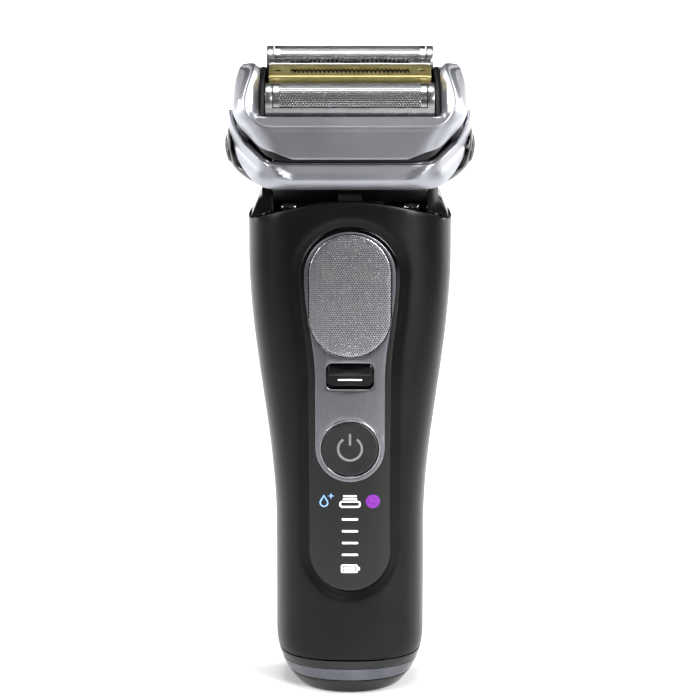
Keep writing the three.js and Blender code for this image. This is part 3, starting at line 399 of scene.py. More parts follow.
def foot_band(low, high, edge):
    profile = [(low, 3.5), (low, edge), (low + edge * 0.3, edge * 0.3), (low + edge, 0)]
    profile += [(mix(low + edge, high - edge, i / 6), 0) for i in range(1, 6)]
    profile += [(high - edge, 0), (high - edge * 0.3, edge * 0.3), (high, edge), (high, 3.5)]
    return hoop([[Vector((x, y, z)) * MM for x, y in around(z, depth)] for z, depth in profile])


made("foot_collar", foot_band(7.55, 9.85, 0.18), gloss_black, "gloss_black", "base_collar")

# Metallised band: vacuum-coated plastic, a dark mirror with a little haze and fine turning marks.
metallised, tree, surface = new_material("metallised_gunmetal", Metallic=1.0)
blotched(tree, surface, ("#5c5d63", "#6f7076"), (0.17, 0.26), 5, 0.4, 0.0006)
made("foot_ring", foot_band(3.95, 7.45, 0.22), metallised, "gunmetal", "base_trim_ring")

CAP_PROFILE = [(3.85, 3.6), (3.85, 0.25), (3.75, 0.08), (3.55, 0), (3.1, 0), (2.5, 0), (1.9, 0), (1.2, 0),
               (0.6, 0), (0.3, 0.06), (0.1, 0.25), (0, 0.6)]
inlet = rounded((0, 6), 6.2, 4.2, 1.9)
cap_rims = [[(around(z, depth), z) for z, depth in CAP_PROFILE],
            [(inlet, 3.85), (inlet, 0.3), (drawn_in(inlet, -0.3), 0)]]
made("foot_cap", sheet(cap_rims, lambda p, z: Vector((p[0], p[1], z)) * MM, 1.5),
     gloss_black, "gloss_black", "base_cap")

# ---------------------------------------------------------------- front panel
# A gloss window fills the keyhole, and a thin aluminium plate is bonded in its upper part, with openings for
# the perforated thumb pad, the head lock and the power button. The display shines through the lower part.
LENS_DEPTH = 0.7
PLATE_DEPTH = 0.6
BUTTON_Z = RIM - 64.9
front = on_handle(-1)
button_hole = arc((0, BUTTON_Z), 7.75, 0, 360, 72)[:-1]
lock_hole = rounded((0, LOCK_Z), 6.1, 3.45, 1.6)
lens_rims = [rolled(panel_outline(-0.2), LENS_DEPTH, 3, 0.25), rolled(button_hole, LENS_DEPTH, 3, 0.1, -1),
             rolled(lock_hole, LENS_DEPTH, 2.2, 0.2, -1)]
made("display_window", sheet(lens_rims, front), gloss_black, "gloss_black", "panel_lens")
made("lock_window_floor", sheet([[(drawn_in(lock_hole, -0.4), 2.7), (drawn_in(lock_hole, -0.4), 2.25)]], front),
     gloss_black, "gloss_black", body="handle")

# Anodised aluminium: satin, brushed up and down, so that its light runs in a soft vertical streak.
anodised, tree, surface = new_material("anodised_brushed_aluminium", Metallic=1.0, Anisotropic=0.6)
place = node(tree, "TexCoord").outputs["Object"]
stretched = node(tree, "Mapping", {"Vector": place, "Scale": (8000.0, 8000.0, 160.0)}).outputs["Vector"]
brushing = node(tree, "TexNoise", {"Vector": stretched, "Scale": 1.0, "Detail": 2.0}).outputs["Fac"]
shade = node(tree, "ValToRGB", {"Fac": brushing})
shade.color_ramp.elements[0].color, shade.color_ramp.elements[1].color = linear("#77787d"), linear("#9a9ba0")
rough = node(tree, "MapRange", {"Value": brushing, "To Min": 0.24, "To Max": 0.36})
bump = node(tree, "Bump", {"Height": brushing, "Distance": 0.003 * MM})
tree.links.new(shade.outputs["Color"], surface.inputs["Base Color"])
tree.links.new(rough.outputs["Result"], surface.inputs["Roughness"])
tree.links.new(bump.outputs["Normal"], surface.inputs["Normal"])


def plate_outline(grow):
    return keyhole(11.6, 8.9, BUTTON_Z, grow)


def pad_outline(grow):
    top = PANEL_TOP + 0.5
    return arc((0, top), 10.45 + grow, 0, 180, 48) + arc((0, top - 11.2), 10.45 + grow, 180, 360, 48)


plate_rims = [rolled(plate_outline(0), PLATE_DEPTH, PLATE_DEPTH + 0.6, 0.15),
              rolled(divided(pad_outline(0.15), 1), PLATE_DEPTH, PLATE_DEPTH + 0.6, 0.12, -1),
              rolled(button_hole, PLATE_DEPTH, PLATE_DEPTH + 0.6, 0.25, -1),
              rolled(lock_hole, PLATE_DEPTH, PLATE_DEPTH + 0.6, 0.25, -1)]
made("face_plate", sheet(plate_rims, front, 0.9), anodised, "plate_silver", "faceplate")

# Etched stainless sheet: bright, with six-sided holes painted dark grey as painted shade. The real pitch of 0.4
# mm is drawn at 0.62 mm to be seen.
etched_steel, tree, surface = new_material("etched_stainless_sheet", Metallic=1.0)


def hex_holes(tree, across, along, pitch, hole):
    # Value 1 in the holes of a six-sided pattern in two coordinates, given in metres, and 0 on the web between.
    near = []
    for shift in (0.0, 0.5):
        terms = []
        for source, size in ((across, pitch), (along, pitch * 1.732)):
            turns = node(tree, "Math", {0: source, 1: 1 / (size * MM), 2: shift}, operation="MULTIPLY_ADD")
            part = node(tree, "Math", {0: turns.outputs[0]}, operation="FRACT")
            off = node(tree, "Math", {0: part.outputs[0], 1: 0.5}, operation="SUBTRACT")
            terms.append(node(tree, "Math", {0: off.outputs[0], 1: size}, operation="MULTIPLY").outputs[0])
        flat = node(tree, "CombineXYZ", {"X": terms[0], "Y": terms[1]})
        near.append(node(tree, "VectorMath", {0: flat.outputs[0]}, operation="LENGTH").outputs["Value"])
    nearest = node(tree, "Math", {0: near[0], 1: near[1]}, operation="MINIMUM")
    return node(tree, "MapRange", {"Value": nearest.outputs[0], "From Min": hole * 0.8, "From Max": hole * 1.15,
                                   "To Min": 1.0, "To Max": 0.0}).outputs["Result"]


def perforate(tree, surface, holes, web, colours, depth):
    # The holes are only painted: the second colour, dark grey on the pad and near black on the foils, is
    # painted shade in their depth.
    colour = node(tree, "Mix", {"Factor": holes}, data_type="RGBA")
    colour.inputs["A"].default_value, colour.inputs["B"].default_value = map(linear, colours)
    tone = node(tree, "Mix", {"Factor": web, "A": colour.outputs["Result"]},
                data_type="RGBA", blend_type="MULTIPLY")
    tone.inputs["B"].default_value = (0.75, 0.75, 0.77, 1)
    rough = node(tree, "MapRange", {"Value": holes, "To Min": 0.26, "To Max": 0.7})
    bump = node(tree, "Bump", {"Height": holes, "Distance": depth * MM}, invert=True)
    for out, entry in ((tone.outputs["Result"], "Base Color"), (rough.outputs["Result"], "Roughness"),
                       (bump.outputs["Normal"], "Normal")):
        tree.links.new(out, surface.inputs[entry])


place = node(tree, "TexCoord").outputs["Object"]
axes = node(tree, "SeparateXYZ", {"Vector": place})
web = node(tree, "TexNoise", {"Vector": place, "Scale": 400.0, "Detail": 2.0}).outputs["Fac"]
holes = hex_holes(tree, axes.outputs["X"], axes.outputs["Z"], 0.62, 0.17)
perforate(tree, surface, holes, web, ("#c4c5c8", "#2a2a2c"), 0.08)
pad_rim = rolled(divided(pad_outline(-0.05), 1), 0.45, 1.2, 0.3)
made("thumb_rest", sheet([pad_rim], front, 1.0), etched_steel, "pad_steel", "thumb_pad")

# Power button: a satin disc, dished for the thumb, in a polished ring. Its switch is behind it on the board.
# Moulded ABS with a finer grain than the housing and a slightly raised, printed power mark.
button_abs, tree, surface = new_material("fine_satin_abs", IOR=1.52)
blotched(tree, surface, ("#0f0f10", "#19191a"), (0.3, 0.42), 4, 0.15, 0.0012)
BUTTON_FACE = -mix(LOWER_DEPTH, UPPER_FRONT, smooth(BUTTON_Z, *FLARE)) + 0.5


def on_button(point, depth):
    dish = 0.22 * max(0, 1 - hypot(point[0], point[1] - BUTTON_Z) ** 2 / 54)
    return Vector((point[0], BUTTON_FACE + depth + dish, point[1])) * MM


disc = arc((0, BUTTON_Z), 7.25, 0, 360, 72)[:-1]
made("power_disc", sheet([rolled(disc, 0, 2.6, 0.35)], on_button, 0.7),
     button_abs, "button_black", "power_button")
# Metallised ring: a narrow bright mirror that frames the button.
polished_ring, tree, surface = new_material("polished_metallised_ring", Metallic=1.0)
blotched(tree, surface, ("#a5a6aa", "#c0c1c4"), (0.1, 0.18), 2, 0.2, 0.002)
ring_rims = [rolled(arc((0, BUTTON_Z), 7.85, 0, 360, 72)[:-1], 0.42, 1.5, 0.12),
             rolled(arc((0, BUTTON_Z), 7.45, 0, 360, 72)[:-1], 0.42, 1.5, 0.12, -1)]
made("button_ring", sheet(ring_rims, front), polished_ring, "plate_silver", body="handle")

# Printed marks: a thin opaque ink. The power mark is a plain broken circle and bar.
ink_grey, tree, surface = new_material("printed_grey_ink")
blotched(tree, surface, ("#6f7073", "#808184"), (0.4, 0.5), 1.5, 0.1, 0.003)
ring_mark = arc((0, BUTTON_Z), 3.35, 125, 415, 40) + arc((0, BUTTON_Z), 2.75, 415, 125, 40)
bar_mark = rounded((0, BUTTON_Z + 2.5), 0.3, 1.6, 0.28, 4)
for name, mark in (("power_mark_ring", ring_mark), ("power_mark_bar", bar_mark)):
    made(name, sheet([[(mark, 0.05), (mark, -0.03)]], on_button, 0.5),
         ink_grey, "button_black", body="power_button")

# Head lock: a gloss knob that slides in its window. The printed line under it shows where it is locked.
knob = rounded((0, LOCK_Z + 3.45 - 0.3 - 1.6), 5.7, 1.6, 0.7)
KNOB_FACE = -mix(LOWER_DEPTH, UPPER_FRONT, smooth(LOCK_Z, *FLARE)) + 0.75
made("lock_knob", sheet([rolled(knob, 0, 1.3, 0.55, steps=5)],
                        lambda p, depth: Vector((p[0], KNOB_FACE + depth + 0.004 * p[0] ** 2, p[1])) * MM, 0.5),
     gloss_black, "gloss_black", "lock_slider")


# Display marks: white, blue and violet inks that glow softly through the window. All are plain generic signs.
def lit(name, code, strength):
    ink, tree, surface = new_material(name)
    blotched(tree, surface, (code, code), (0.25, 0.35), 1.5, 0.1, 0.002)
    surface.inputs["Emission Color"].default_value = linear(code)
    surface.inputs["Emission Strength"].default_value = strength
    return ink


white_light = lit("lit_white_sign", "#e9eaec", 0.55)
blue_light = lit("lit_blue_sign", "#7fa6e6", 0.5)
violet_light = lit("lit_violet_sign", "#6d1f8c", 0.35)


def sign(name, outline, ink, *holes, depth=LENS_DEPTH):
    rims = [[(loop, depth + 0.1), (loop, depth - 0.03)] for loop in (outline, *holes)]
    made(name, sheet(rims, front, 0.8), ink, "light_guide_white", body="handle")


for i, z in enumerate((48.6, 45.4, 42.2, 39.0)):
    sign(f"charge_bar_{i + 1}", rounded((0, z), 2.1, 0.3, 0.25, 3), white_light)
BATTERY = (-0.15, 35.2)
sign("battery_sign", rounded(BATTERY, 2.2, 1.15, 0.5, 4), white_light, rounded(BATTERY, 1.75, 0.72, 0.25, 4))
sign("battery_sign_level", rounded(BATTERY, 1.5, 0.5, 0.15, 3), white_light)
sign("battery_sign_tip", rounded((2.35, BATTERY[1]), 0.2, 0.45, 0.1, 3), white_light)
sign("cassette_sign_tray", rounded((0, 52.7), 2.75, 0.95, 0.8, 5), white_light,
     rounded((0, 52.75), 2.3, 0.5, 0.4, 5))
for i in range(3):
    sign(f"cassette_sign_bar_{i + 1}", rounded((0, 53.4 + i * 0.75), 1.95 - 0.1 * i, 0.24, 0.2, 3), white_light)
bowl = arc((-6.7, 53.0), 1.15, -215, 35, 24)
sign("clean_sign_drop", bowl + [(-6.7, 55.2)], blue_light, drawn_in(bowl + [(-6.7, 55.0)], 0.35))
star = [(-4.9 + r * sin(radians(a)), 54.9 + r * cos(radians(a))) for a, r in
        ((0, 0.9), (45, 0.25), (90, 0.9), (135, 0.25), (180, 0.9), (225, 0.25), (270, 0.9), (315, 0.25))]
sign("clean_sign_star", star, blue_light)
sign("status_disc", arc((5.9, 53.4), 1.85, 0, 360, 40)[:-1], violet_light)
# The lock line is print, yet takes the glowing white ink: its glow is painted light.
sign("lock_line", rounded((0, 85.6), 3.1, 0.22, 0.2, 3), white_light, depth=2.22)

# ---------------------------------------------------------------- neck
# The yoke is a glass-filled nylon fork screwed in the mouth of the housing. Its arms hold the head's pins.
# Semi-gloss nylon: black, smooth, with bright edge lights.
nylon, tree, surface = new_material("moulded_nylon", IOR=1.53)
blotched(tree, surface, ("#070708", "#0d0d0e"), (0.14, 0.24), 7, 0.5, 0.0015)


def softened(name, cad_node, material, slot, width=0.2):
    # The CAD solid with its flats joined and its sharp edges rounded.
    mesh = bmesh.new()
    mesh.from_mesh(frame["nodes"][cad_node].data)
    bmesh.ops.remove_doubles(mesh, verts=mesh.verts, dist=1e-6)
    bmesh.ops.dissolve_limit(mesh, angle_limit=radians(2), verts=mesh.verts, edges=mesh.edges)
    sharp = [e for e in mesh.edges if len(e.link_faces) == 2 and e.calc_face_angle(0) > radians(40)]
    bmesh.ops.bevel(mesh, geom=sharp, offset=width * MM, segments=2, profile=0.5, affect="EDGES",
                    clamp_overlap=True)
    return made(name, mesh, material, slot, cad_node, sharp=35)


softened("yoke", "head_yoke", nylon, "neck_black", 0.35)
# Machined steel: screws and pins, plain grey with turning marks.
machined, tree, surface = new_material("machined_steel", Metallic=1.0)
blotched(tree, surface, ("#8c8d8f", "#b5b6b7"), (0.2, 0.34), 0.8, 0.12, 0.001)
for side in ("left", "right"):
    softened(f"yoke_screw_{side}_turned", f"yoke_screw_{side}", machined, "screw_steel", 0.12)

# ---------------------------------------------------------------- head frame
# The lower part of the head: a metallised plastic frame with a cove along its front and horns that rise
# beside the cassette. It carries the motor and the cassette, and swings in the yoke.
SWIVEL = (-2.7, 145)
TILT = radians(22)


def in_head(x, y, w):
    forward, up = y * cos(TILT) - w * sin(TILT), y * sin(TILT) + w * cos(TILT)
    return Vector((x, SWIVEL[0] + forward, SWIVEL[1] + up)) * MM


def head_ring(half_width, side_flat, half_depth, front_flat, radius=5):
    a, b = (half_width, side_flat), (front_flat, half_depth)
    corners = [a, b, (-b[0], b[1]), (-a[0], a[1]), (-a[0], -a[1]), (-b[0], -b[1]), (b[0], -b[1]), (a[0], -a[1])]
    cuts = (10, 44, 10, 4) * 2

    def toward(corner, other):
        length = hypot(other[0] - corner[0], other[1] - corner[1])
        reach = min(radius, length * 0.48) / length
        return (mix(corner[0], other[0], reach), mix(corner[1], other[1], reach))

    points = []
    for i, c in enumerate(corners):
        p, q = toward(c, corners[i - 1]), toward(c, corners[(i + 1) % 8])
        for k in range(9):
            t = k / 8
            points.append(tuple(mix(mix(p[j], c[j], t), mix(c[j], q[j], t), t) for j in (0, 1)))
        after = toward(corners[(i + 1) % 8], c)
        points += spread(q, after, cuts[i])[1:]
    return points


FRAME_FOOT, FRAME_LIP, FRAME_TOP, HORN_TOP = -3.1, 2.1, 4.8, 9.7


def frame_ring(w):
    low = min(1, max(0, (FRAME_LIP - w) / (FRAME_LIP - FRAME_FOOT)))
    high = max(0, (w - FRAME_LIP) / (FRAME_TOP - FRAME_LIP))
    half_depth = 19.7 - 2.3 * low ** 2 - 0.7 * high
    return head_ring(30.5 - 2.8 * low ** 2, mix(2, 6.5, low), half_depth, mix(20.3, 22.6, low))


def wall_of(ring_at, low, high, cuts=60):
    # Point i of a wall at any height, set in from its surface by a distance.
    rings = np.array([ring_at(mix(low, high, k / cuts)) for k in range(cuts + 1)])
    along = np.roll(rings, -1, 1) - np.roll(rings, 1, 1)
    normals = np.stack([along[..., 1], -along[..., 0]], -1)
    normals /= np.linalg.norm(normals, axis=2)[..., None]

    def point(i, w, inset):
        k = min(cuts - 1e-6, max(0, (w - low) / (high - low) * cuts))
        p, n = (mix(a[int(k), i], a[int(k) + 1, i], k - int(k)) for a in (rings, normals))
        return p[0] - inset * n[0], p[1] - inset * n[1]
    return point, rings.shape[1]


def coved(x, y, w):
    # The cove in the frame's front starts above a rounded lip and fades out towards both ends.
    if y > -12:
        return in_head(x, y, w)
    start = mix(1.35, 4.6, smooth(abs(x), 14, 21))
    return in_head(x, y + 1.0 * smooth(w, start, start + 1.3), w)


# Metallised satin plastic: a cool blue-grey metal under a thin satin lacquer, which softens its highlights.
satin_metal, tree, surface = new_material("metallised_satin_lacquer", Metallic=0.92, Coat_Weight=0.04,
                                          Coat_Roughness=0.25)
blotched(tree, surface, ("#a3a4aa", "#a9aab0"), (0.34, 0.38), 12, 0.12, 0.00005)
frame_wall, count = wall_of(frame_ring, FRAME_FOOT, HORN_TOP)
frame_tops = []
for i in range(count):
    x, y = frame_wall(i, FRAME_TOP, 0)
    horn = (HORN_TOP - FRAME_TOP) * max(0, 1 - abs(y) / 9) ** 1.6 if abs(x) > 22 else 0
    frame_tops.append(FRAME_TOP + horn)
# Each row of the frame: a height counted from the head's axis, a share of the way up its side, or a height
# counted from its top edge, and how far it is set in from the wall.
AXIS, SIDE, CREST = range(3)
SIDE_FOOT, CREST_ROLL = 2.6, 0.32
rows = [(AXIS, FRAME_FOOT + 0.2, 1.6), (AXIS, FRAME_FOOT, 0.6), (AXIS, FRAME_FOOT + 0.1, 0.2),
        (AXIS, FRAME_FOOT + 0.4, 0)]
rows += [(AXIS, mix(FRAME_FOOT + 0.4, 1.2, f / 7), 0) for f in range(1, 8)]
rows += [(AXIS, mix(1.2, SIDE_FOOT, f / 9), 0) for f in range(1, 10)]
rows += [(SIDE, f / 8, 0) for f in range(1, 8)]
rows += [(CREST, -CREST_ROLL, 0), (CREST, -0.1, 0.08), (CREST, 0, 0.3), (CREST, 0, 0.65), (CREST, -0.2, 0.9)]
rows += [(AXIS, 4.75, 0.95), (AXIS, 4.5, 1.7), (AXIS, 1, 1.7)]
loops = []
for kind, value, inset in rows:
    if kind == AXIS:
        heights = [value] * count
    elif kind == SIDE:
        heights = [mix(SIDE_FOOT, top - CREST_ROLL, value) for top in frame_tops]
    else:
        heights = [top + value for top in frame_tops]
    loops.append([coved(*frame_wall(i, w, inset), w) for i, w in enumerate(heights)])
made("head_lower_frame", hoop(loops), satin_metal, "head_silver", "head_frame")

# ---------------------------------------------------------------- side covers and release buttons
# Gloss covers over the yoke's arms, and in each a ribbed button that lets the cassette go.
COVER_FOOT, COVER_TOP, DOME_FOOT = -9, 4.2, -3


def on_cover(sign):
    def place(point, depth):
        y, w = point
        t = min(1, max(0, (COVER_TOP - w) / (COVER_TOP - COVER_FOOT)))
        share = min(1, abs(y) / (15 - 3 * t - depth)) ** 2
        crown = 0.9 * max(0, (w + 1) / (COVER_TOP + 1)) ** 2
        return in_head(sign * (31.5 - 6 * t ** 5 - crown - depth) * (1 - share) ** (1 / 3), y, w)
    return place


def dome_outline():
    rise = COVER_TOP - DOME_FOOT
    dome = [(6 * cos(radians(a)), DOME_FOOT + rise * sin(radians(a))) for a in range(8, 173, 4)]
    right = arc((5, COVER_FOOT + 4), 4, 270, 355, 8)
    right += [(8.7, DOME_FOOT - 0.75), (8.1, DOME_FOOT - 0.5), (6.3, DOME_FOOT - 0.2)]
    return right + dome + [(-y, w) for y, w in reversed(right)]


RIB_PITCH, RIB_RISE = 1.6, 0.12
for side, sign_x in (("left", -1), ("right", 1)):
    outline = divided(dome_outline(), 0.6)
    button = divided(rounded((0, -1.6), 4.3, 3, 2.8), 0.6)
    cover_rims = [rolled(outline, 0, 1.4, 0.3), rolled(drawn_in(button, -0.25), 0, 1.4, 0.25, -1)]
    cover = on_cover(sign_x)
    made(f"cover_{side}", sheet(cover_rims, cover, 0.8), gloss_black, "gloss_black", f"side_cover_{side}")

    def ribbed(point, depth):
        rib = RIB_RISE * (1 + cos(point[0] * 2 * pi / RIB_PITCH)) if depth < 0.3 else 0
        return cover(point, depth + rib)

    made(f"release_{side}_pad", sheet([rolled(button, -0.28, 2.6, 0.4)], ribbed, 0.3),
         button_abs, "release_black", f"release_button_{side}")

# ---------------------------------------------------------------- cassette frame
# The shaving cassette is a moulded saddle, metallised like the head, with high ears at both ends and a
# sloped bevel round its window. It lifts off the head as one.
EAR_TOP, EDGE_W, CASSETTE_FOOT = 22.8, 14.3, 6.1
LIP_Y = 13.9
# Height of the saddle's top edge at each distance from the middle, front to back.
SADDLE = ((0, EAR_TOP), (2.2, 22.5), (5.2, 21.2), (9.7, 18.7), (12.9, 17.2), (LIP_Y, 16.3), (15.8, EDGE_W),
          (40, EDGE_W))
DROPS = (1, 1, 1, 1, 0.6, 0, 0, 0)


def cassette_ring(w):
    t = min(1, max(0, (w - CASSETTE_FOOT) / (EAR_TOP - CASSETTE_FOOT)))
    low = min(1, max(0, (w - CASSETTE_FOOT) / (EDGE_W - CASSETTE_FOOT)))
    swell = 0.6 * smooth(w, HORN_TOP, HORN_TOP + 1.7)
    return head_ring(29.2 + swell - 4.9 * t ** 2.6, mix(1.5, 9, low), mix(19.1, 15.8, low),
                     mix(20, 23.6, low), mix(5, 4, low))


def saddle_height(x, y):
    drop = 1.7 * min(1, max(0, (24 - abs(x)) / 1.5))
    reach = abs(y)
    knots = [k[0] for k in SADDLE]
    heights = [k[1] - share * drop for k, share in zip(SADDLE, DROPS)]
    if reach < 12.6:
        height = np.mean(np.interp([abs(reach + d) for d in (-1.5, -1, -0.5, 0, 0.5, 1, 1.5)], knots, heights))
    else:
        height = np.interp(reach, knots, heights)
    return float(height) - (2.7 * min(1, reach / LIP_Y) if y > 0 else 0)


def onto(point, half_x, half_y, radius):
    x, y = point
    qx = min(half_x - radius, max(radius - half_x, x))
    qy = min(half_y - radius, max(radius - half_y, y))
    length = hypot(x - qx, y - qy) or 1
    return (qx + (x - qx) / length * radius, qy + (y - qy) / length * radius)


cassette_wall, count = wall_of(cassette_ring, CASSETTE_FOOT, EAR_TOP)
tops, feet, rolls = [], [], []
for i in range(count):
    low, high = CASSETTE_FOOT, EAR_TOP
    for _ in range(18):
        w = (low + high) / 2
        low, high = (w, high) if saddle_height(*cassette_wall(i, w, 0)) > w else (low, w)
    x = abs(cassette_wall(i, low, 0)[0])
    tops.append(low)
    feet.append(6.9 + 1.6 * smooth(x, 17.5, 22.5) - 0.4 * smooth(x, 25, 29))
    rolls.append(mix(0.35, 1.25, smooth(low, 17, 20)))


def cassette_loop(height, inset):
    heights = [height(i) for i in range(count)]
    return [in_head(*cassette_wall(i, w, inset), w) for i, w in enumerate(heights)]


loops = [cassette_loop(lambda i: feet[i] + 0.4, 1.4)]
for rise, inset in ((0.02, 0.5), (0, 0.3), (0.06, 0.1), (0.25, 0)):
    loops.append(cassette_loop(lambda i: feet[i] + rise, inset))
for f in range(1, 13):
    loops.append(cassette_loop(lambda i: mix(feet[i] + 0.25, tops[i] - 1.5 * rolls[i], f / 12), 0))
crest = [cassette_wall(i, tops[i], rolls[i]) for i in range(count)]
for f in range(1, 6):
    angle = pi / 2 * f / 5
    loop = []
    for i in range(count):
        x, y = cassette_wall(i, tops[i], rolls[i] * (1 - cos(angle)))
        loop.append(in_head(x, y, mix(tops[i] - 1.5 * rolls[i], saddle_height(*crest[i]), sin(angle))))
    loops.append(loop)
middle = [p if abs(p[0]) < 24 and abs(p[1]) < 14.3 else onto(p, 24, 14.3, 3.8) for p in crest]
inner = [onto(p, 22.5, 13.6, 1.5) for p in crest]
for a, b, cuts in ((crest, middle, 5), (middle, inner, 5)):
    for k in range(cuts):
        points = [(mix(p[0], q[0], k / cuts), mix(p[1], q[1], k / cuts)) for p, q in zip(a, b)]
        loops.append([in_head(x, y, saddle_height(x, y)) for x, y in points])
for drop in (0.03, 0.4):
    loops.append([in_head(x, y, saddle_height(x, y) - drop) for x, y in inner])
loops.append([in_head(x, y, 8.6) for x, y in inner])
made("cassette_saddle", hoop(loops), satin_metal, "head_silver", "cassette_frame")

# A matt black skirt closes the saddle below; its black in the gap over the head frame is painted shade, a dark
# line.
# This matt black plastic also serves as painted shade on the trimmer blades, the lock pawl and in the gap under
# the saddle.
inner_plastic, tree, surface = new_material("moulded_matt_plastic_and_painted_shade", IOR=1.5, Specular_IOR_Level=0.3)
blotched(tree, surface, ("#060607", "#0c0c0e"), (0.4, 0.55), 5, 0.3, 0.003)
skirt = [cassette_loop(lambda i: CASSETTE_FOOT, 1.4), cassette_loop(lambda i: CASSETTE_FOOT, 0.8)]
skirt += [cassette_loop(lambda i: mix(CASSETTE_FOOT + 0.2, feet[i] + 0.3, f / 3), 0.6) for f in range(4)]
skirt.append(cassette_loop(lambda i: feet[i] + 0.3, 1.35))
made("cassette_skirt", hoop(skirt), inner_plastic, "inner_plastic", body="cassette")

# ---------------------------------------------------------------- carrier and seal
# The black tray in the saddle's window, with end plates that guide the three cutting units.
softened("cutting_unit_carrier", "cassette_carrier", inner_plastic, "inner_plastic", 0.25)
softened("head_dome", "head_chassis", inner_plastic, "inner_plastic", 0.2)
softened("motor_seal", "drive_seal", elastomer, "grip_rubber", 0.2)

# ---------------------------------------------------------------- foils
# Each foil is a very thin nickel sheet, electroformed with six-sided holes and sprung over its holder.
# Bright nickel, with its holes painted near black as painted shade. The real pitch of about 0.5 mm is drawn at
# 0.66 mm so that the holes show.
foil_nickel, tree, surface = new_material("electroformed_nickel_foil", Metallic=1.0)
flat = node(tree, "Attribute", attribute_name="unrolled", attribute_type="GEOMETRY").outputs["Vector"]
axes = node(tree, "SeparateXYZ", {"Vector": flat})
web = node(tree, "TexNoise", {"Vector": flat, "Scale": 600.0, "Detail": 2.0}).outputs["Fac"]
holes = hex_holes(tree, axes.outputs["X"], axes.outputs["Y"], 0.66, 0.25)
perforate(tree, surface, holes, web, ("#c6c7c8", "#050505"), 0.1)
FOIL_Y, FOIL_W, FOIL_R = 8.8, 18.5, 3.9
# Plain nickel at the ends, without holes: a brighter strip beside the mesh.
plain_nickel, tree, surface = new_material("bright_nickel_sheet", Metallic=1.0)
blotched(tree, surface, ("#b6b7b8", "#c4c4c4"), (0.22, 0.28), 3, 0.2, 0.0001)


def foil_arc(x0, x1, y, radius, skin, cuts, arcs=40):
    mesh = bmesh.new()
    layer = mesh.verts.layers.float_vector.new("unrolled")
    skins = []
    for r in (radius, radius - skin):
        grid = []
        for i in range(cuts + 1):
            x = mix(x0, x1, i / cuts)
            row = []
            for k in range(arcs + 1):
                angle = pi * k / arcs
                v = mesh.verts.new(in_head(x, y - r * cos(angle), FOIL_W + r * sin(angle)))
                v[layer] = Vector((x, radius * angle, 0)) * MM
                row.append(v)
            grid.append(row)
        skins.append(grid)
    for grid in skins:
        for a, b in zip(grid, grid[1:]):
            for k in range(arcs):
                mesh.faces.new((a[k], a[k + 1], b[k + 1], b[k]))
    out, back = skins
    for i in (0, cuts):
        for k in range(arcs):
            mesh.faces.new((out[i][k], out[i][k + 1], back[i][k + 1], back[i][k]))
    for k in (0, arcs):
        for i in range(cuts):
            mesh.faces.new((out[i][k], out[i + 1][k], back[i + 1][k], back[i][k]))
    return mesh


# Metallised holder: bright end caps and a lower rail, the same on both foils.
holder_metal, tree, surface = new_material("metallised_bright_plastic", Metallic=0.95, Coat_Weight=0.2)
blotched(tree, surface, ("#a4a5a6", "#b2b3b3"), (0.24, 0.3), 4, 0.2, 0.0001)
for place_name, sign_y in (("front", -1), ("rear", 1)):
    y = sign_y * FOIL_Y
    softened(f"{place_name}_foil_rail", f"{place_name}_foil_holder", holder_metal, "holder_silver", 0.3)
    made(f"{place_name}_foil_sheet", foil_arc(-17.6, 17.6, y, FOIL_R, 0.35, 8), foil_nickel, "foil_steel",
         f"{place_name}_foil")
    for side, end in (("left", -1), ("right", 1)):
        inner_x, outer_x = sorted((end * 17.55, end * 18.95))
        made(f"{place_name}_foil_band_{side}", foil_arc(inner_x, outer_x, y, FOIL_R, 0.35, 2),
             plain_nickel, "foil_steel", body=f"{place_name}_foil_unit")
    softened(f"{place_name}_cutter_block", f"{place_name}_cutter", machined, "blade_steel", 0.05)

# ---------------------------------------------------------------- middle trimmers
# Two combs stand between the foils: a gold one that lifts flat hairs, with a zig-zag mouth of fine teeth,
# and a slotted steel one. Each is pressed from sheet and slides over a blade of its own.
softened("trimmer_base", "middle_holder", inner_plastic, "inner_plastic", 0.15)
# Titanium nitride on steel: a pale, satin gold.
gold, tree, surface = new_material("titanium_nitride_coat", Metallic=1.0)
blotched(tree, surface, ("#b3a56b", "#c2b57e"), (0.32, 0.38), 3, 0.2, 0.0001)
COMB_HALF, COMB_FOOT, COMB_TOP = 20.2, 18.5, 22.1


def comb_place(point, depth):
    return in_head(point[0], point[1], depth)


def comb(y0, y1, top, mouth, *slots):
    # A pressed channel: its top has a mouth and slots, and its edges are rounded.
    outer = divided(rounded((0, (y0 + y1) / 2), COMB_HALF, (y1 - y0) / 2, 0.5, 5), 1)
    hollow = drawn_in(outer, 0.45)
    rims = [[(hollow, top - 0.45), (hollow, COMB_FOOT), (outer, COMB_FOOT)]
            + [(drawn_in(outer, 0.4 * (1 - cos(a))), top - 0.4 * (1 - sin(a)))
               for a in (0, pi / 6, pi / 3, pi / 2)]]
    for hole in (mouth, *slots):
        rims.append([(hole, top - 0.45), (hole, top - 0.06), (drawn_in(hole, -0.04), top)])
    return sheet(rims, comb_place, 0.7)


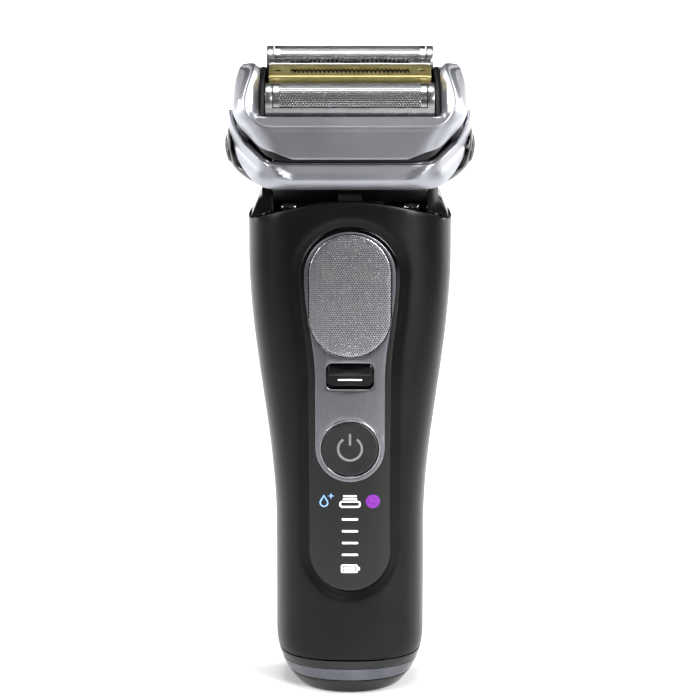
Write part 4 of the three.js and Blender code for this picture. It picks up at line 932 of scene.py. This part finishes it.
TEETH = 28
pitch = 29.6 / TEETH
front_teeth, rear_teeth = [], []
for i in range(TEETH):
    x = -14.8 + i * pitch
    front_teeth += [(x, -3.0), (x + pitch / 2, -1.6)]
    rear_teeth += [(x, -1.05), (x + pitch / 2, -0.4)]
front_teeth.append((14.8, -3.0))
rear_teeth.append((14.8, -1.05))
zigzag = front_teeth + rear_teeth[::-1]
end_slots = [rounded((sign_x * 18, -1.5), 0.85, 0.38, 0.25, 3) for sign_x in (-1, 1)]
made("lift_comb", comb(-4.5, 1.3, 22.2, zigzag, *end_slots), gold, "gold_coat", "lift_trimmer_comb")
slots = []
for i in range(27):
    slots.append(rounded(((i - 13) * 1.1, 3.05), 0.33, 1.15, 0.2, 2))
slots += [rounded((x, y), 0.75, 0.22, 0.18, 3) for x in (-18.6, -16.2, 16.2, 18.6) for y in (2.2, 3.9)]
made("cut_comb", comb(1.6, 4.5, COMB_TOP, slots[0], *slots[1:]), plain_nickel, "foil_steel", "cut_trimmer_comb")
# The steel blades take the matt black plastic finish: painted shade that darkens the comb's mouth and slots.
softened("lift_blade", "lift_trimmer_blade", inner_plastic, "blade_steel", 0.05)
softened("cut_blade", "cut_trimmer_blade", inner_plastic, "blade_steel", 0.05)

# ---------------------------------------------------------------- long-hair trimmer on the back
# A slide with a ribbed thumb rest carries a comb and a moving blade up past the rim of the housing.
softened("long_hair_slide", "trimmer_slide", moulded_abs, "housing_black", 0.3)
# Ground stainless steel: fine lines across the teeth.
ground_steel, tree, surface = new_material("ground_stainless", Metallic=1.0)
blotched(tree, surface, ("#a9aaac", "#c9cacb"), (0.2, 0.3), 1.2, 0.1, 0.004)
softened("long_hair_comb", "trimmer_comb", ground_steel, "foil_steel", 0.06)
softened("long_hair_blade", "trimmer_blade", ground_steel, "foil_steel", 0.06)

# ---------------------------------------------------------------- parts inside
# What the housing hides: cell, board, switch, light guide, chassis, motor and springs, each in its own finish.
# Solder mask on glass epoxy: a glossy deep green.
board, tree, surface = new_material("solder_mask_on_glass_epoxy", IOR=1.5)
blotched(tree, surface, ("#144a2a", "#1d6a3c"), (0.3, 0.45), 2, 0.3, 0.01)
# Lacquered copper wire: a warm metal with the fine ridges of its turns.
lacquered_copper, tree, surface = new_material("lacquered_copper_wire", Metallic=1.0)
blotched(tree, surface, ("#9a5a30", "#c07a48"), (0.25, 0.4), 2, 0.35, 0.03)
# Shrunk PVC sleeve: blue and softly glossy.
sleeve, tree, surface = new_material("shrink_sleeve", IOR=1.5)
blotched(tree, surface, ("#235d8e", "#2f74ab"), (0.3, 0.45), 6, 0.6, 0.01)
# Opal acrylic: milky white.
opal, tree, surface = new_material("opal_light_guide", IOR=1.49)
blotched(tree, surface, ("#dfe2e3", "#f2f4f4"), (0.3, 0.4), 4, 0.4, 0.004)
# Drawn spring wire: grey steel with dull streaks.
wire, tree, surface = new_material("drawn_spring_wire", Metallic=1.0)
blotched(tree, surface, ("#85868a", "#a9aaad"), (0.22, 0.36), 0.8, 0.15, 0.006)
INSIDE = {
    board: ["circuit_board"],
    lacquered_copper: ["motor_coil"],
    sleeve: ["battery_cell"],
    opal: ["light_guide"],
    wire: ["front_spring_left", "front_spring_right", "rear_spring_left", "rear_spring_right",
           "battery_tab_top", "battery_tab_bottom"],
    machined: ["pivot_pin_left", "pivot_pin_right", "motor_stator", "drive_bridge_front", "drive_bridge_rear"],
    plated_nickel: ["inlet_pin_left", "inlet_pin_right"],
    # The lock pawl takes the matt black finish as painted shade in the neck under the head.
    inner_plastic: ["lock_pawl", "inner_chassis", "inlet_socket", "tact_switch"],
}
for material, names in INSIDE.items():
    for name in names:
        data = frame["nodes"][name].data
        data.materials.clear()
        data.materials.append(material)

# ---------------------------------------------------------------- floor and light
# A flat floor of pale paper, soft boxes at both sides, in front and above, and one over the floor behind.
paper, tree, surface = new_material("pale_paper")
blotched(tree, surface, ("#e9e9ea", "#efeff0"), (0.7, 0.8), 60, 0.8, 0.004)
floor_mesh = bmesh.new()
bmesh.ops.create_grid(floor_mesh, x_segments=8, y_segments=8, size=6)
data = bpy.data.meshes.new("floor")
floor_mesh.to_mesh(data)
floor = bpy.data.objects.new("floor", data)
data.materials.append(paper)
bpy.context.scene.collection.objects.link(floor)


def soft_box(name, position, aim, width, height, brightness, spread=180):
    light = bpy.data.objects.new(name, bpy.data.lights.new(name, "AREA"))
    light.data.shape, light.data.size, light.data.size_y = "RECTANGLE", width, height
    light.data.energy, light.data.spread = brightness * pi * width * height, radians(spread)
    light.location = position
    light.rotation_mode = "QUATERNION"
    light.rotation_quaternion = (Vector(aim) - light.location).to_track_quat("-Z", "Y")
    bpy.context.scene.collection.objects.link(light)


soft_box("left_strip", (-0.5, -0.25, 0.3), AIM, 0.1, 0.5, 2.6, 60)
soft_box("right_strip", (0.42, -0.45, 0.3), AIM, 0.14, 0.5, 4.5, 60)
soft_box("front_box", (0.35, -1.1, 0.4), (0, 0, 0.14), 0.3, 0.3, 0.2, 30)
soft_box("left_rim", (-0.6, 0.3, 0.3), AIM, 0.15, 0.5, 2.2, 60)
soft_box("right_rim", (0.6, 0.3, 0.3), AIM, 0.15, 0.5, 3.2, 60)
soft_box("top_box", (0, -0.15, 0.95), (0, 0, 0.15), 0.9, 0.5, 0.6, 40)
soft_box("floor_box", (0, 0.9, 0.9), (0, 0.9, 0), 2.4, 1.4, 2.4, 42)
world = bpy.data.worlds.new("studio")
bpy.context.scene.world = world
world.use_nodes = True
world.node_tree.nodes["Background"].inputs["Color"].default_value = (0.9, 0.92, 0.95, 1)
world.node_tree.nodes["Background"].inputs["Strength"].default_value = 0.05
bpy.context.scene.view_settings.view_transform = "Standard"
